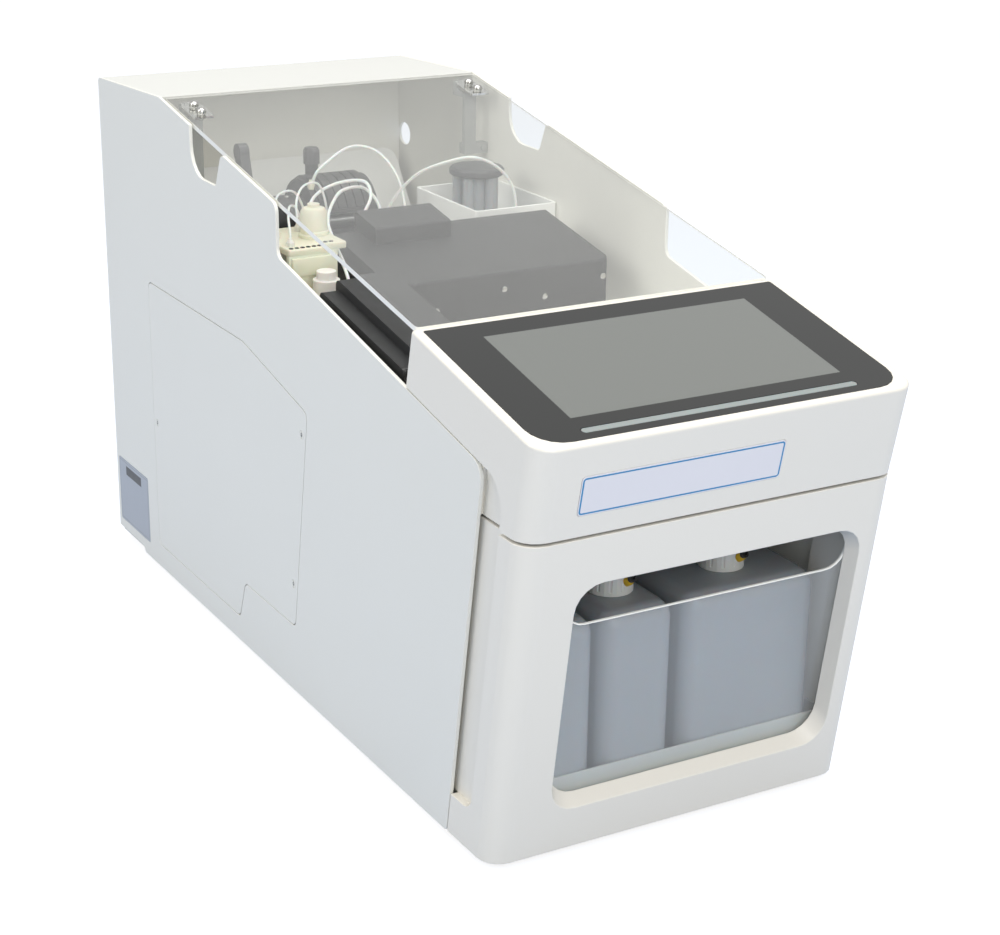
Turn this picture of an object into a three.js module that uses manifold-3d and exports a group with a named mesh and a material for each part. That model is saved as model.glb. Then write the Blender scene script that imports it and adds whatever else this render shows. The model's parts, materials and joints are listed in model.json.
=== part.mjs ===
// A bench-top continuous flow analyzer: a sheet-metal body with a clear sloping lid, a moulded display head
// and a reagent drawer under it. Millimetres, +Z up, -Y to the front, +X to the right seen from the front.
// The body is laid out from its own datum (y = 0 at the foot of the slanted front, z = 0 under the side
// panels) and is centred and stood on its feet at the end.
import * as THREE from "three";
import { mergeVertices } from "three/addons/utils/BufferGeometryUtils.js";
import Module from "manifold-3d";

const wasm = await Module();
wasm.setup();

// Finishes
const finish = (color, roughness, metalness = 0, opacity = 1) => ({ color, roughness, metalness, opacity });
const FINISHES = {
  panelWhite: finish(0xdde0e2, 0.5),
  mouldingWhite: finish(0xe9e7e2, 0.42),
  deckWhite: finish(0xe6e7e6, 0.55),
  steel: finish(0xb8bbbd, 0.3, 0.9),
  zinc: finish(0x9fa3a6, 0.4, 0.9),
  blackCoat: finish(0x1d1e1f, 0.6),
  blackGlass: finish(0x101113, 0.12),
  screenGrey: finish(0x8b8d8a, 0.35),
  lightBar: finish(0xc3cbc8, 0.4),
  badge: finish(0xd9d9e2, 0.4),
  label: finish(0xb7bfc8, 0.5),
  clear: finish(0xc9cfce, 0.1, 0, 0.3),
  translucent: finish(0xd7d9dd, 0.5),
  cream: finish(0xe6e3c4, 0.5),
  tubing: finish(0xefefec, 0.45),
  darkGrey: finish(0x4a4c4d, 0.5),
  rubber: finish(0x232323, 0.85),
  capWhite: finish(0xe8e6df, 0.5),
};

// General fits and counts
const touchGap = 0.3;
const seam = 0.8;
const overrun = 20;
const arcSteps = 5;
const roundSides = 24;
const smallSides = 12;
const weldTolerance = 1e-4;

// The body
const body = {
  width: 318,
  height: 462,
  depth: 758,
  bendY: 602,
  topFall: 6,
  frontLean: THREE.MathUtils.degToRad(9),
  lidSlope: THREE.MathUtils.degToRad(10.4),
  headSlope: THREE.MathUtils.degToRad(12),
  lowerSlope: THREE.MathUtils.degToRad(11.8),
  footHeight: 6,
};
const panel = {
  thickness: 3,
  frontY: 64.5,
  frontTopZ: 304,
  frontTopRadius: 14,
  footRise: 5.5,
  footRiseLength: 66,
  footRiseRamp: 5,
  stepRadius: 9,
  leftStepY: 353,
  rightStepY: 268,
  notchFrontY: 463,
  notchSideRun: 13,
  notchRearY: 531,
  notchFloorZ: body.height - 55,
  notchRadius: 26,
  notchSmallRadius: 4,
  notchToothRadius: 8,
  rearRadius: 5,
};
const halfWidth = body.width / 2;
const innerHalf = halfWidth - panel.thickness;
const leanTan = Math.tan(body.frontLean);
const lidTan = Math.tan(body.lidSlope);

// Solids
function toSolid(geometry) {
  const plain = geometry.index ? geometry.toNonIndexed() : geometry;
  const bare = new THREE.BufferGeometry().setAttribute("position", plain.getAttribute("position"));
  const merged = mergeVertices(bare, weldTolerance);
  const triVerts = new Uint32Array(merged.index.array);
  return new wasm.Manifold(
    new wasm.Mesh({ numProp: 3, vertProperties: merged.attributes.position.array, triVerts }),
  );
}

function toGeometry(solid) {
  const mesh = solid.getMesh();
  const geometry = new THREE.BufferGeometry();
  geometry.setAttribute("position", new THREE.BufferAttribute(new Float32Array(mesh.vertProperties), 3));
  geometry.setIndex(new THREE.BufferAttribute(new Uint32Array(mesh.triVerts), 1));
  const flat = geometry.toNonIndexed();
  flat.computeVertexNormals();
  return flat;
}

const joined = (...solids) => solids.reduce((all, next) => all.add(next));
const cut = (solid, ...tools) => tools.reduce((left, tool) => left.subtract(tool), solid);

// A closed outline with each corner [u, v, radius] rounded by a true arc.
function filleted(corners, steps = arcSteps) {
  const points = [];
  corners.forEach(([u, v, radius = 0], i) => {
    const before = corners[(i + corners.length - 1) % corners.length];
    const after = corners[(i + 1) % corners.length];
    const corner = new THREE.Vector2(u, v);
    if (radius === 0) {
      points.push(corner);
      return;
    }
    const back = new THREE.Vector2(before[0] - u, before[1] - v).normalize();
    const on = new THREE.Vector2(after[0] - u, after[1] - v).normalize();
    const half = Math.acos(back.dot(on)) / 2;
    const reach = radius / Math.tan(half);
    const middle = back.clone().add(on).normalize();
    const centre = corner.clone().addScaledVector(middle, radius / Math.sin(half));
    const start = corner.clone().addScaledVector(back, reach).sub(centre).angle();
    const end = corner.clone().addScaledVector(on, reach).sub(centre).angle();
    const turn = 2 * Math.PI;
    const sweep = ((end - start + 3 * Math.PI) % turn) - Math.PI;
    for (let k = 0; k <= steps; k++) {
      const angle = start + (sweep * k) / steps;
      points.push(new THREE.Vector2(Math.cos(angle), Math.sin(angle)).multiplyScalar(radius).add(centre));
    }
  });
  return new THREE.Shape(points);
}

const rectangle = (u0, u1, v0, v1, radius = 0, steps = arcSteps) =>
  filleted([[u0, v0, radius], [u1, v0, radius], [u1, v1, radius], [u0, v1, radius]], steps);

const axes = {
  x: [new THREE.Vector3(0, 1, 0), new THREE.Vector3(0, 0, 1), new THREE.Vector3(1, 0, 0)],
  y: [new THREE.Vector3(1, 0, 0), new THREE.Vector3(0, 0, 1), new THREE.Vector3(0, -1, 0)],
  z: [new THREE.Vector3(1, 0, 0), new THREE.Vector3(0, 1, 0), new THREE.Vector3(0, 0, 1)],
};

// Straight prisms: X takes an outline in (y, z), Y one in (x, z) and Z one in (x, y).
function prismGeometry(axis, shape, from, to, bevel = {}) {
  const geometry = new THREE.ExtrudeGeometry(shape, {
    depth: to - from,
    bevelEnabled: false,
    curveSegments: arcSteps,
    ...bevel,
  });
  geometry.applyMatrix4(new THREE.Matrix4().makeBasis(...axes[axis]));
  const shift = { x: [from, 0, 0], y: [0, to, 0], z: [0, 0, from] }[axis];
  return geometry.translate(...shift);
}
const prismX = (shape, from, to) => toSolid(prismGeometry("x", shape, from, to));
const prismY = (shape, from, to) => toSolid(prismGeometry("y", shape, from, to));
const prismZ = (shape, from, to) => toSolid(prismGeometry("z", shape, from, to));

function box(x0, x1, y0, y1, z0, z1) {
  const geometry = new THREE.BoxGeometry(x1 - x0, y1 - y0, z1 - z0);
  return toSolid(geometry.translate((x0 + x1) / 2, (y0 + y1) / 2, (z0 + z1) / 2));
}

// A cylinder from one end to the other along an axis; a and b place its centre on the other two, in order.
function rod(axis, radius, from, to, a, b, sides = smallSides) {
  const geometry = new THREE.CylinderGeometry(radius, radius, to - from, sides);
  const middle = (from + to) / 2;
  if (axis === "x") geometry.rotateZ(-Math.PI / 2).translate(middle, a, b);
  if (axis === "y") geometry.translate(a, middle, b);
  if (axis === "z") geometry.rotateX(Math.PI / 2).translate(a, b, middle);
  return toSolid(geometry);
}

// A turned body on the Z axis from its profile of [radius, height] points.
function turned(profile, sides = roundSides) {
  const points = profile.map(([r, z]) => new THREE.Vector2(r, z));
  return toSolid(new THREE.LatheGeometry(points, sides).rotateX(Math.PI / 2));
}

// A solid between two like outlines on two planes across Y.
function loftY(outlineA, yA, outlineB, yB) {
  const a = outlineA.getPoints();
  const b = outlineB.getPoints();
  const count = a.length;
  const caps = THREE.ShapeUtils.triangulateShape(a, []);
  const points = [
    ...a.map((p) => new THREE.Vector3(p.x, yA, p.y)),
    ...b.map((p) => new THREE.Vector3(p.x, yB, p.y)),
  ];
  const faces = [];
  caps.forEach(([i, j, k]) => faces.push([i, j, k], [k + count, j + count, i + count]));
  for (let i = 0; i < count; i++) {
    const next = (i + 1) % count;
    faces.push([i, i + count, next], [next, i + count, next + count]);
  }
  const geometry = new THREE.BufferGeometry().setFromPoints(faces.flat().map((i) => points[i]));
  const solid = toSolid(geometry);
  if (solid.volume() > 0) return solid;
  return toSolid(new THREE.BufferGeometry().setFromPoints(faces.map((f) => f.reverse()).flat().map((i) => points[i])));
}

// A tube along a smooth curve through points.
function tube(points, radius, steps, sides) {
  const curve = new THREE.CatmullRomCurve3(points, false, "centripetal");
  const circle = new THREE.Shape();
  circle.absarc(0, 0, radius, 0, 2 * Math.PI);
  const ring = new THREE.Shape(circle.getSpacedPoints(sides).slice(0, sides));
  return new THREE.ExtrudeGeometry(ring, { steps, extrudePath: curve, bevelEnabled: false });
}

// The scene graph
const analyzer = new THREE.Group();
const frame = new THREE.Group();
analyzer.add(frame);
const datum = new THREE.Vector3(0, 0, 0);

function piece(name, solid, look, place = datum, parent = frame) {
  const { color, roughness, metalness, opacity } = look;
  const transparent = opacity < 1;
  const material = new THREE.MeshStandardMaterial({ color, roughness, metalness, opacity, transparent });
  const geometry = solid.isBufferGeometry ? solid : toGeometry(solid);
  const mesh = new THREE.Mesh(geometry, material);
  mesh.name = name;
  mesh.position.copy(place);
  parent.add(mesh);
  return mesh;
}

// Heights along the slopes and the slanted front
const lidTop = (y) => body.height - (body.bendY - y) * lidTan;
const panelFront = (z) => panel.frontY - z * leanTan;
const lowerEdge = (y) => panel.frontTopZ + (y - panelFront(panel.frontTopZ)) * Math.tan(body.lowerSlope);
const leanShear = new THREE.Matrix4().set(1, 0, 0, 0, 0, 1, -leanTan, 0, 0, 0, 1, 0, 0, 0, 0, 1);

// Side panels, with the tube notch, the step down and the lower edge beside the lid
function sidePanelOutline(stepY) {
  const p = panel;
  const heel = body.depth - p.footRiseLength;
  return filleted([
    [body.depth, p.footRise],
    [heel, p.footRise],
    [heel - p.footRiseRamp, 0],
    [panelFront(0), 0, p.notchSmallRadius],
    [panelFront(p.frontTopZ), p.frontTopZ, p.frontTopRadius],
    [stepY, lowerEdge(stepY), p.stepRadius],
    [stepY, lidTop(stepY), p.stepRadius],
    [p.notchFrontY, lidTop(p.notchFrontY), p.notchToothRadius],
    [p.notchFrontY + p.notchSideRun, p.notchFloorZ, p.notchSmallRadius],
    [p.notchRearY, p.notchFloorZ, p.notchRadius],
    [p.notchRearY, lidTop(p.notchRearY)],
    [body.bendY, body.height, p.notchSmallRadius],
    [body.depth, body.height - body.topFall, p.rearRadius],
  ]);
}

// The access cover in the left panel lies flush in an opening of its own outline.
const cover = {
  frontY: 341,
  footZ: 61,
  topZ: 284,
  noseZ: 257,
  slopeEndY: 427,
  footStepY: 437,
  footStepRun: 14,
  rearFootZ: 24,
  rearY: 647,
  cornerRadius: 7,
  gap: 0.7,
  flangeWidth: 9,
  screwHeadRadius: 3.4,
  screwHeadDepth: 1.6,
  screwInset: 8,
  upperScrewZ: 236.6,
  lowerScrewZ: 98.8,
  rearScrewZ: 149,
};
const coverEdge = (z) => cover.frontY - z * leanTan;
function coverOutline(grow) {
  const c = cover;
  return filleted([
    [coverEdge(c.footZ - grow) - grow, c.footZ - grow, c.cornerRadius],
    [c.footStepY - grow, c.footZ - grow, c.screwInset],
    [c.footStepY + c.footStepRun - grow, c.rearFootZ - grow, c.screwInset],
    [c.rearY + grow, c.rearFootZ - grow, c.cornerRadius],
    [c.rearY + grow, c.topZ + grow, c.cornerRadius],
    [c.slopeEndY, c.topZ + grow, c.screwInset],
    [coverEdge(c.noseZ) - grow, c.noseZ + grow, c.screwInset],
  ]);
}
const screwPlaces = [
  [coverEdge(cover.upperScrewZ) + cover.screwInset, cover.upperScrewZ],
  [coverEdge(cover.lowerScrewZ) + cover.screwInset, cover.lowerScrewZ],
  [cover.rearY - cover.screwInset, cover.rearScrewZ],
];

// The bare rating plate lies in a shallow pocket of the left panel.
const rating = { frontY: 673, rearY: 752, bottomZ: 15, topZ: 81, thickness: 0.5, radius: 2.5 };
const ratingOutline = (grow) =>
  rectangle(
    rating.frontY - grow, rating.rearY + grow, rating.bottomZ - grow, rating.topZ + grow, rating.radius, shell.cornerSteps,
  );

function buildSidePanels() {
  const blankLeft = prismX(sidePanelOutline(panel.leftStepY), -halfWidth, -innerHalf);
  const opening = prismX(coverOutline(cover.gap), -halfWidth - overrun, -innerHalf + overrun);
  const pocket = prismX(ratingOutline(touchGap), -halfWidth - overrun, -halfWidth + rating.thickness + touchGap);
  piece("left_side_panel", cut(blankLeft, opening, pocket), FINISHES.panelWhite);
  const passage = { y: body.depth - 16.2, z: body.height - 85.5, width: 12, height: 22 };
  const oval = rectangle(
    passage.y - passage.width, passage.y + passage.width,
    passage.z - passage.height / 2, passage.z + passage.height / 2, passage.height * 0.49,
  );
  const blankRight = prismX(sidePanelOutline(panel.rightStepY), innerHalf, halfWidth);
  const hole = prismX(oval, innerHalf - overrun, halfWidth + overrun);
  piece("right_side_panel", cut(blankRight, hole), FINISHES.panelWhite);
}

function buildAccessCover() {
  let skin = prismX(coverOutline(0), -halfWidth, -innerHalf);
  const face = -halfWidth + cover.screwHeadDepth / 2;
  for (const [y, z] of screwPlaces) {
    const outer = rod("x", cover.screwHeadRadius + touchGap, -halfWidth - overrun, face, y, z);
    const head = rod("x", cover.screwHeadRadius, -halfWidth, face + touchGap, y, z);
    const slotHalf = cover.screwHeadDepth / 3;
    const reach = cover.screwHeadRadius * 2;
    const slot = box(-halfWidth - overrun, face, y - slotHalf, y + slotHalf, z - reach, z + reach);
    skin = joined(cut(skin, outer), cut(head, slot));
  }
  piece("left_access_cover", skin, FINISHES.panelWhite);
}

// Folded strip behind the lid, the back wall, the floor and the deck
const shell = {
  sheet: 2,
  hemDrop: 3,
  flangeDrop: 12,
  sideGap: 0.3,
  floorZ: 1,
  floorFrontY: 76,
  floorFlange: 16,
  deckZ: 290,
  deckFrontY: 150,
  deckFlange: 24,
  cornerSteps: 3,
};
const shellHalf = innerHalf - shell.sideGap;
const backWall = {
  outerY: body.depth - shell.sideGap - shell.sheet - touchGap,
  topZ: body.height - body.topFall - panel.rearRadius - touchGap,
};
backWall.innerY = backWall.outerY - shell.sheet;

function buildTopStrip() {
  const s = shell;
  const rear = body.depth - s.sideGap;
  const rearTop = body.height - body.topFall;
  const outline = filleted([
    [body.bendY, body.height - s.sideGap],
    [body.bendY, body.height - s.sheet - s.hemDrop],
    [body.bendY + s.sheet, body.height - s.sheet - s.hemDrop],
    [body.bendY + s.sheet, body.height - s.sheet - s.sideGap],
    [rear - s.sheet, rearTop - s.sheet, panel.rearRadius - s.sheet],
    [rear - s.sheet, rearTop - s.flangeDrop],
    [rear, rearTop - s.flangeDrop],
    [rear, rearTop, panel.rearRadius],
  ]);
  piece("rear_top_strip", prismX(outline, -shellHalf, shellHalf), FINISHES.panelWhite);
}

// The rear panel carries the fan, the power inlet, the switch and the data and fluid ports.
const fan = { x: -80, z: 205, size: 80, depth: 25, bore: 36, hub: 15, blades: 7, bladeThickness: 2, boltInset: 8 };
const grille = { slots: 7, slotWidth: 5, pitch: 9 };
const inlet = { x: 104, z: 60, width: 48, height: 28, cutWidth: 28, cutHeight: 20, flange: 2.4, depth: 26 };
const rocker = { x: 60, z: 60, width: 21, height: 15, depth: 14, pivotInset: 3, throwAngle: 8, frame: 3 };
const ports = { x: -60, z: 60, pitch: 26, width: 16, height: 13, count: 2 };
const barbs = { x: 40, z: 120, pitch: 24, count: 3, radius: 4, bore: 1.8, reach: 12, nut: 7, nutDepth: 4 };

function buildRearPanel() {
  const plate = rectangle(-shellHalf, shellHalf, shell.floorZ + shell.sheet + touchGap, backWall.topZ);
  let wall = prismY(plate, backWall.innerY, backWall.outerY);
  const through = (shape) => prismY(shape, backWall.innerY - overrun, backWall.outerY + overrun);
  const slotHalf = grille.slotWidth / 2;
  for (let i = 0; i < grille.slots; i++) {
    const offset = (i - (grille.slots - 1) / 2) * grille.pitch;
    const reach = Math.sqrt(fan.bore ** 2 - offset ** 2);
    const x = fan.x + offset;
    const slot = rectangle(x - slotHalf, x + slotHalf, fan.z - reach, fan.z + reach, slotHalf * 0.98, shell.cornerSteps);
    wall = cut(wall, through(slot));
  }
  const inletHalf = inlet.cutWidth / 2 + touchGap;
  const inletTall = inlet.cutHeight / 2 + touchGap;
  wall = cut(wall, through(rectangle(inlet.x - inletHalf, inlet.x + inletHalf, inlet.z - inletTall, inlet.z + inletTall)));
  const rockerHalf = rocker.width / 2 + touchGap;
  const rockerTall = rocker.height / 2 + touchGap;
  wall = cut(
    wall,
    through(rectangle(rocker.x - rockerHalf, rocker.x + rockerHalf, rocker.z - rockerTall, rocker.z + rockerTall)),
  );
  for (let i = 0; i < ports.count; i++) {
    const x = ports.x - i * ports.pitch;
    const half = ports.width / 2;
    wall = cut(wall, through(rectangle(x - half, x + half, ports.z - ports.height / 2, ports.z + ports.height / 2)));
  }
  for (let i = 0; i < barbs.count; i++) {
    const x = barbs.x + i * barbs.pitch;
    const boss = rod("y", barbs.nut, backWall.innerY, backWall.outerY + touchGap, x, barbs.z);
    const spout = rod("y", barbs.radius, backWall.innerY, backWall.outerY + barbs.reach / 2, x, barbs.z);
    const bore = rod("y", barbs.bore, backWall.innerY - overrun, backWall.outerY + overrun, x, barbs.z);
    wall = cut(joined(wall, boss, spout), bore);
  }
  piece("rear_panel", wall, FINISHES.panelWhite);
}

function buildFan() {
  const outerY = backWall.innerY - touchGap;
  const half = fan.size / 2;
  const ring = rectangle(fan.x - half, fan.x + half, fan.z - half, fan.z + half, fan.boltInset / 2, shell.cornerSteps);
  const bore = rod("y", fan.bore, outerY - fan.depth - overrun, outerY + overrun, fan.x, fan.z, roundSides);
  const body3 = cut(prismY(ring, outerY - fan.depth, outerY), bore);
  const spiderY = outerY - fan.depth;
  const armWidth = fan.bladeThickness * 1.5;
  const arm = box(
    fan.x - armWidth, fan.x + armWidth, spiderY, spiderY + fan.bladeThickness,
    fan.z - fan.bore - armWidth, fan.z + fan.bore + armWidth,
  );
  const cross = box(
    fan.x - fan.bore - armWidth, fan.x + fan.bore + armWidth, spiderY, spiderY + fan.bladeThickness,
    fan.z - armWidth, fan.z + armWidth,
  );
  const plateau = rod("y", fan.hub, spiderY, spiderY + fan.bladeThickness, fan.x, fan.z, roundSides);
  const spindle = rod("y", armWidth, spiderY, spiderY + fan.depth / 2, fan.x, fan.z);
  piece("fan_frame", joined(body3, arm, cross, plateau, spindle), FINISHES.blackCoat);

  const hubFrom = fan.bladeThickness + touchGap;
  const hubTo = fan.depth - hubFrom;
  let rotor = rod("z", fan.hub, hubFrom, hubTo, 0, 0, roundSides);
  const bladeReach = fan.bore - seam * 2;
  const tilt = new THREE.Matrix4().makeRotationX(Math.PI / 5);
  for (let i = 0; i < fan.blades; i++) {
    const blade = new THREE.BoxGeometry(bladeReach, fan.bladeThickness, fan.depth * 0.62);
    blade.translate(bladeReach / 2, 0, 0);
    blade.applyMatrix4(tilt);
    blade.applyMatrix4(new THREE.Matrix4().makeRotationZ((i * 2 * Math.PI) / fan.blades));
    blade.translate(0, 0, fan.depth / 2);
    rotor = joined(rotor, toSolid(blade));
  }
  rotor = cut(rotor, rod("z", armWidth + touchGap, -overrun, fan.depth / 2 + touchGap, 0, 0));
  const mesh = piece("fan_rotor", rotor, FINISHES.blackCoat, new THREE.Vector3(fan.x, spiderY, fan.z));
  mesh.rotation.x = -Math.PI / 2;
}

function buildInlets() {
  const outer = backWall.outerY + touchGap;
  const flangePlate = rectangle(
    inlet.x - inlet.width / 2, inlet.x + inlet.width / 2, inlet.z - inlet.height / 2, inlet.z + inlet.height / 2,
    inlet.flange, shell.cornerSteps,
  );
  const core = rectangle(
    inlet.x - inlet.cutWidth / 2, inlet.x + inlet.cutWidth / 2,
    inlet.z - inlet.cutHeight / 2, inlet.z + inlet.cutHeight / 2,
  );
  const wallThin = inlet.flange;
  const cavity = filleted([
    [inlet.x - inlet.cutWidth / 2 + wallThin, inlet.z - inlet.cutHeight / 2 + wallThin],
    [inlet.x + inlet.cutWidth / 2 - wallThin, inlet.z - inlet.cutHeight / 2 + wallThin],
    [inlet.x + inlet.cutWidth / 2 - wallThin, inlet.z + inlet.cutHeight / 4],
    [inlet.x + inlet.cutWidth / 4, inlet.z + inlet.cutHeight / 2 - wallThin],
    [inlet.x - inlet.cutWidth / 4, inlet.z + inlet.cutHeight / 2 - wallThin],
    [inlet.x - inlet.cutWidth / 2 + wallThin, inlet.z + inlet.cutHeight / 4],
  ]);
  const socketDepth = inlet.depth - wallThin * 2;
  let socket = joined(
    prismY(flangePlate, outer, outer + inlet.flange),
    prismY(core, outer + inlet.flange - inlet.depth, outer + inlet.flange),
  );
  socket = cut(socket, prismY(cavity, outer + inlet.flange - socketDepth, outer + overrun));
  const pinHalf = wallThin / 2;
  for (const share of [-0.25, 0, 0.25]) {
    const x = inlet.x + share * inlet.cutWidth;
    const lift = share === 0 ? inlet.cutHeight / 8 : -inlet.cutHeight / 8;
    const from = outer + inlet.flange - socketDepth - wallThin / 2;
    socket = joined(
      socket,
      box(x - pinHalf, x + pinHalf, from, outer, inlet.z + lift - wallThin, inlet.z + lift + wallThin),
    );
  }
  piece("power_inlet", socket, FINISHES.blackCoat);

  const half = rocker.width / 2;
  const tall = rocker.height / 2;
  const pivotY = outer - rocker.pivotInset;
  const housing = rectangle(rocker.x - half, rocker.x + half, rocker.z - tall, rocker.z + tall);
  const rim = rectangle(
    rocker.x - half - rocker.frame, rocker.x + half + rocker.frame,
    rocker.z - tall - rocker.frame, rocker.z + tall + rocker.frame,
  );
  const wall = rocker.frame / 2;
  const hollow = rectangle(rocker.x - half + wall, rocker.x + half - wall, rocker.z - tall + wall, rocker.z + tall - wall);
  const bezel = cut(
    joined(prismY(housing, outer - rocker.depth, outer), prismY(rim, outer, outer + wall)),
    prismY(hollow, outer - rocker.depth + wall, outer + overrun),
  );
  const trunnion = rod("z", wall / 2, rocker.z - tall + wall / 2, rocker.z - tall + wall + seam * 2, rocker.x, pivotY);
  const trunnionTop = rod("z", wall / 2, rocker.z + tall - wall - seam * 2, rocker.z + tall - wall / 2, rocker.x, pivotY);
  piece("switch_bezel", joined(bezel, trunnion, trunnionTop), FINISHES.blackCoat);

  const keyHalf = half - wall - seam;
  const keyTall = tall - wall - touchGap;
  const slope = Math.tan(THREE.MathUtils.degToRad(rocker.throwAngle));
  const keyOutline = new THREE.Shape([
    new THREE.Vector2(-keyHalf, -rocker.pivotInset),
    new THREE.Vector2(keyHalf, -rocker.pivotInset),
    new THREE.Vector2(keyHalf, rocker.pivotInset * 1.6 + keyHalf * slope * 2),
    new THREE.Vector2(0, rocker.pivotInset),
    new THREE.Vector2(-keyHalf, rocker.pivotInset),
  ]);
  let key = prismZ(keyOutline, -keyTall, keyTall);
  key = cut(key, rod("z", wall / 2 + touchGap, -keyTall - overrun, -keyTall + seam * 2 + touchGap * 2, 0, 0));
  key = cut(key, rod("z", wall / 2 + touchGap, keyTall - seam * 2 - touchGap * 2, keyTall + overrun, 0, 0));
  piece("rocker_switch", key, FINISHES.blackCoat, new THREE.Vector3(rocker.x, pivotY, rocker.z));
}

function buildFloorAndDeck() {
  const s = shell;
  const rear = backWall.outerY;
  const pan = filleted([
    [-shellHalf, s.floorZ],
    [shellHalf, s.floorZ],
    [shellHalf, s.floorZ + s.floorFlange],
    [shellHalf - s.sheet, s.floorZ + s.floorFlange],
    [shellHalf - s.sheet, s.floorZ + s.sheet],
    [-shellHalf + s.sheet, s.floorZ + s.sheet],
    [-shellHalf + s.sheet, s.floorZ + s.floorFlange],
    [-shellHalf, s.floorZ + s.floorFlange],
  ]);
  let floor = prismY(pan, s.floorFrontY, backWall.innerY - touchGap);
  floor = joined(floor, box(-shellHalf, shellHalf, backWall.innerY - s.sheet, rear, s.floorZ, s.floorZ + s.sheet));
  piece("base_pan", floor, FINISHES.zinc);
  const deckRear = backWall.innerY - touchGap;
  const deckEdge = filleted([
    [s.deckFrontY, s.deckZ],
    [s.deckFrontY, s.deckZ - s.deckFlange],
    [s.deckFrontY + s.sheet, s.deckZ - s.deckFlange],
    [s.deckFrontY + s.sheet, s.deckZ - s.sheet],
    [deckRear - s.sheet, s.deckZ - s.sheet],
    [deckRear - s.sheet, s.deckZ - s.deckFlange],
    [deckRear, s.deckZ - s.deckFlange],
    [deckRear, s.deckZ],
  ]);
  piece("instrument_deck", prismX(deckEdge, -shellHalf, shellHalf), FINISHES.deckWhite);
}

// Rubber feet in holes of the floor
const foot = { radius: 11, tipRadius: 9, insetX: 34, frontY: 110, rearInset: 60, stemRadius: 3, headRadius: 5, headHeight: 2 };
function buildFeet() {
  const rearY = body.depth - foot.rearInset;
  const seat = shell.floorZ - touchGap;
  const profile = [
    [0, -body.footHeight],
    [foot.tipRadius, -body.footHeight],
    [foot.radius, -body.footHeight / 2],
    [foot.radius, seat],
    [0, seat],
  ];
  const places = [
    ["foot_front_left", -1, foot.frontY],
    ["foot_front_right", 1, foot.frontY],
    ["foot_rear_left", -1, rearY],
    ["foot_rear_right", 1, rearY],
  ];
  for (const [name, side, y] of places) {
    piece(name, turned(profile, smallSides), FINISHES.rubber, new THREE.Vector3(side * (halfWidth - foot.insetX), y, 0));
  }
}

// The display head: laid out in the frame of its sloping top (u across, v up the slope, w out of it)
const head = {
  rearY: 121,
  bottomZ: 265,
  cornerRadius: 18,
  rearRadius: 3,
  edgeRound: 2.5,
  wall: 3.5,
  topWall: 8,
  sideRim: 7,
  frontRim: 6.8,
  rearRim: 4.4,
  ledge: 5,
  glassDepth: 2.6,
  glassThickness: 2.3,
  glassCorner: 24,
  glassRearCorner: 2,
  activeWidth: 227,
  activeHeight: 122.5,
  activeFrontInset: 28.2,
  openingMargin: 4,
  moduleMargin: 8,
  moduleDepth: 11,
  barWidth: 230,
  barHeight: 6,
  barInset: 11.2,
  barDepth: 6,
};
const grip = { stepY: 34, depth: 6, liner: 3, bottomZ: 34, bottomRadius: 10, topRadius: 24, topLift: 1.5, behind: 3 };
const lid = { thickness: 4, frontY: head.rearY + 0.5, rearGap: 5, sideGap: 2, cornerRadius: 4 };
lid.rearY = body.bendY - lid.rearGap;
const lidBottom = (y) => lidTop(y) - lid.thickness / Math.cos(body.lidSlope);
const drawerGap = 2.6;
const headTan = Math.tan(body.headSlope);
const frontPlane = (z) => -z * leanTan;
const headRearTop = lidTop(head.rearY) - touchGap;
// The head's front plane is square to its top; both meet at the head's origin.
const headFootY = frontPlane(head.bottomZ);
head.originY =
  (headFootY - (headRearTop - head.rearY * headTan - head.bottomZ) * headTan) / (1 + headTan * headTan);
head.originZ = headRearTop - (head.rearY - head.originY) * headTan;
const headLength = (head.rearY - head.originY) / Math.cos(body.headSlope);
const headMatrix = new THREE.Matrix4().makeRotationX(body.headSlope).setPosition(0, head.originY, head.originZ);

function headSolid(shape, from, to, bevel) {
  return toSolid(prismGeometry("z", shape, from, to, bevel).applyMatrix4(headMatrix));
}

function headOutline(inset, frontRadius, rearRadius) {
  const u = halfWidth - inset;
  return filleted([
    [-u, inset, frontRadius],
    [u, inset, frontRadius],
    [u, headLength - inset, rearRadius],
    [-u, headLength - inset, rearRadius],
  ]);
}

// The finger recess beside the front mouldings, as an outline in (y, z).
function gripOutline(offset, bottomZ, topZ, rearOffset) {
  const y = (z) => frontPlane(z) + grip.stepY - offset;
  const rear = (z) => panelFront(z) + rearOffset;
  return filleted([
    [y(bottomZ - offset), bottomZ - offset, grip.bottomRadius],
    [rear(bottomZ - offset), bottomZ - offset],
    [rear(topZ), topZ],
    [y(topZ), topZ],
  ]);
}

function headRecess(offset) {
  const low = head.bottomZ - overrun;
  const y = (z) => frontPlane(z) + grip.stepY - offset;
  const top = (at) => lowerEdge(at) + grip.topLift + offset;
  const rearY = head.rearY + (headRearTop - head.bottomZ) * headTan + overrun;
  const noseZ = top(y(panel.frontTopZ));
  return filleted([
    [y(low), low],
    [rearY, low],
    [rearY, top(rearY)],
    [y(noseZ), noseZ, grip.topRadius],
  ]);
}

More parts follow.
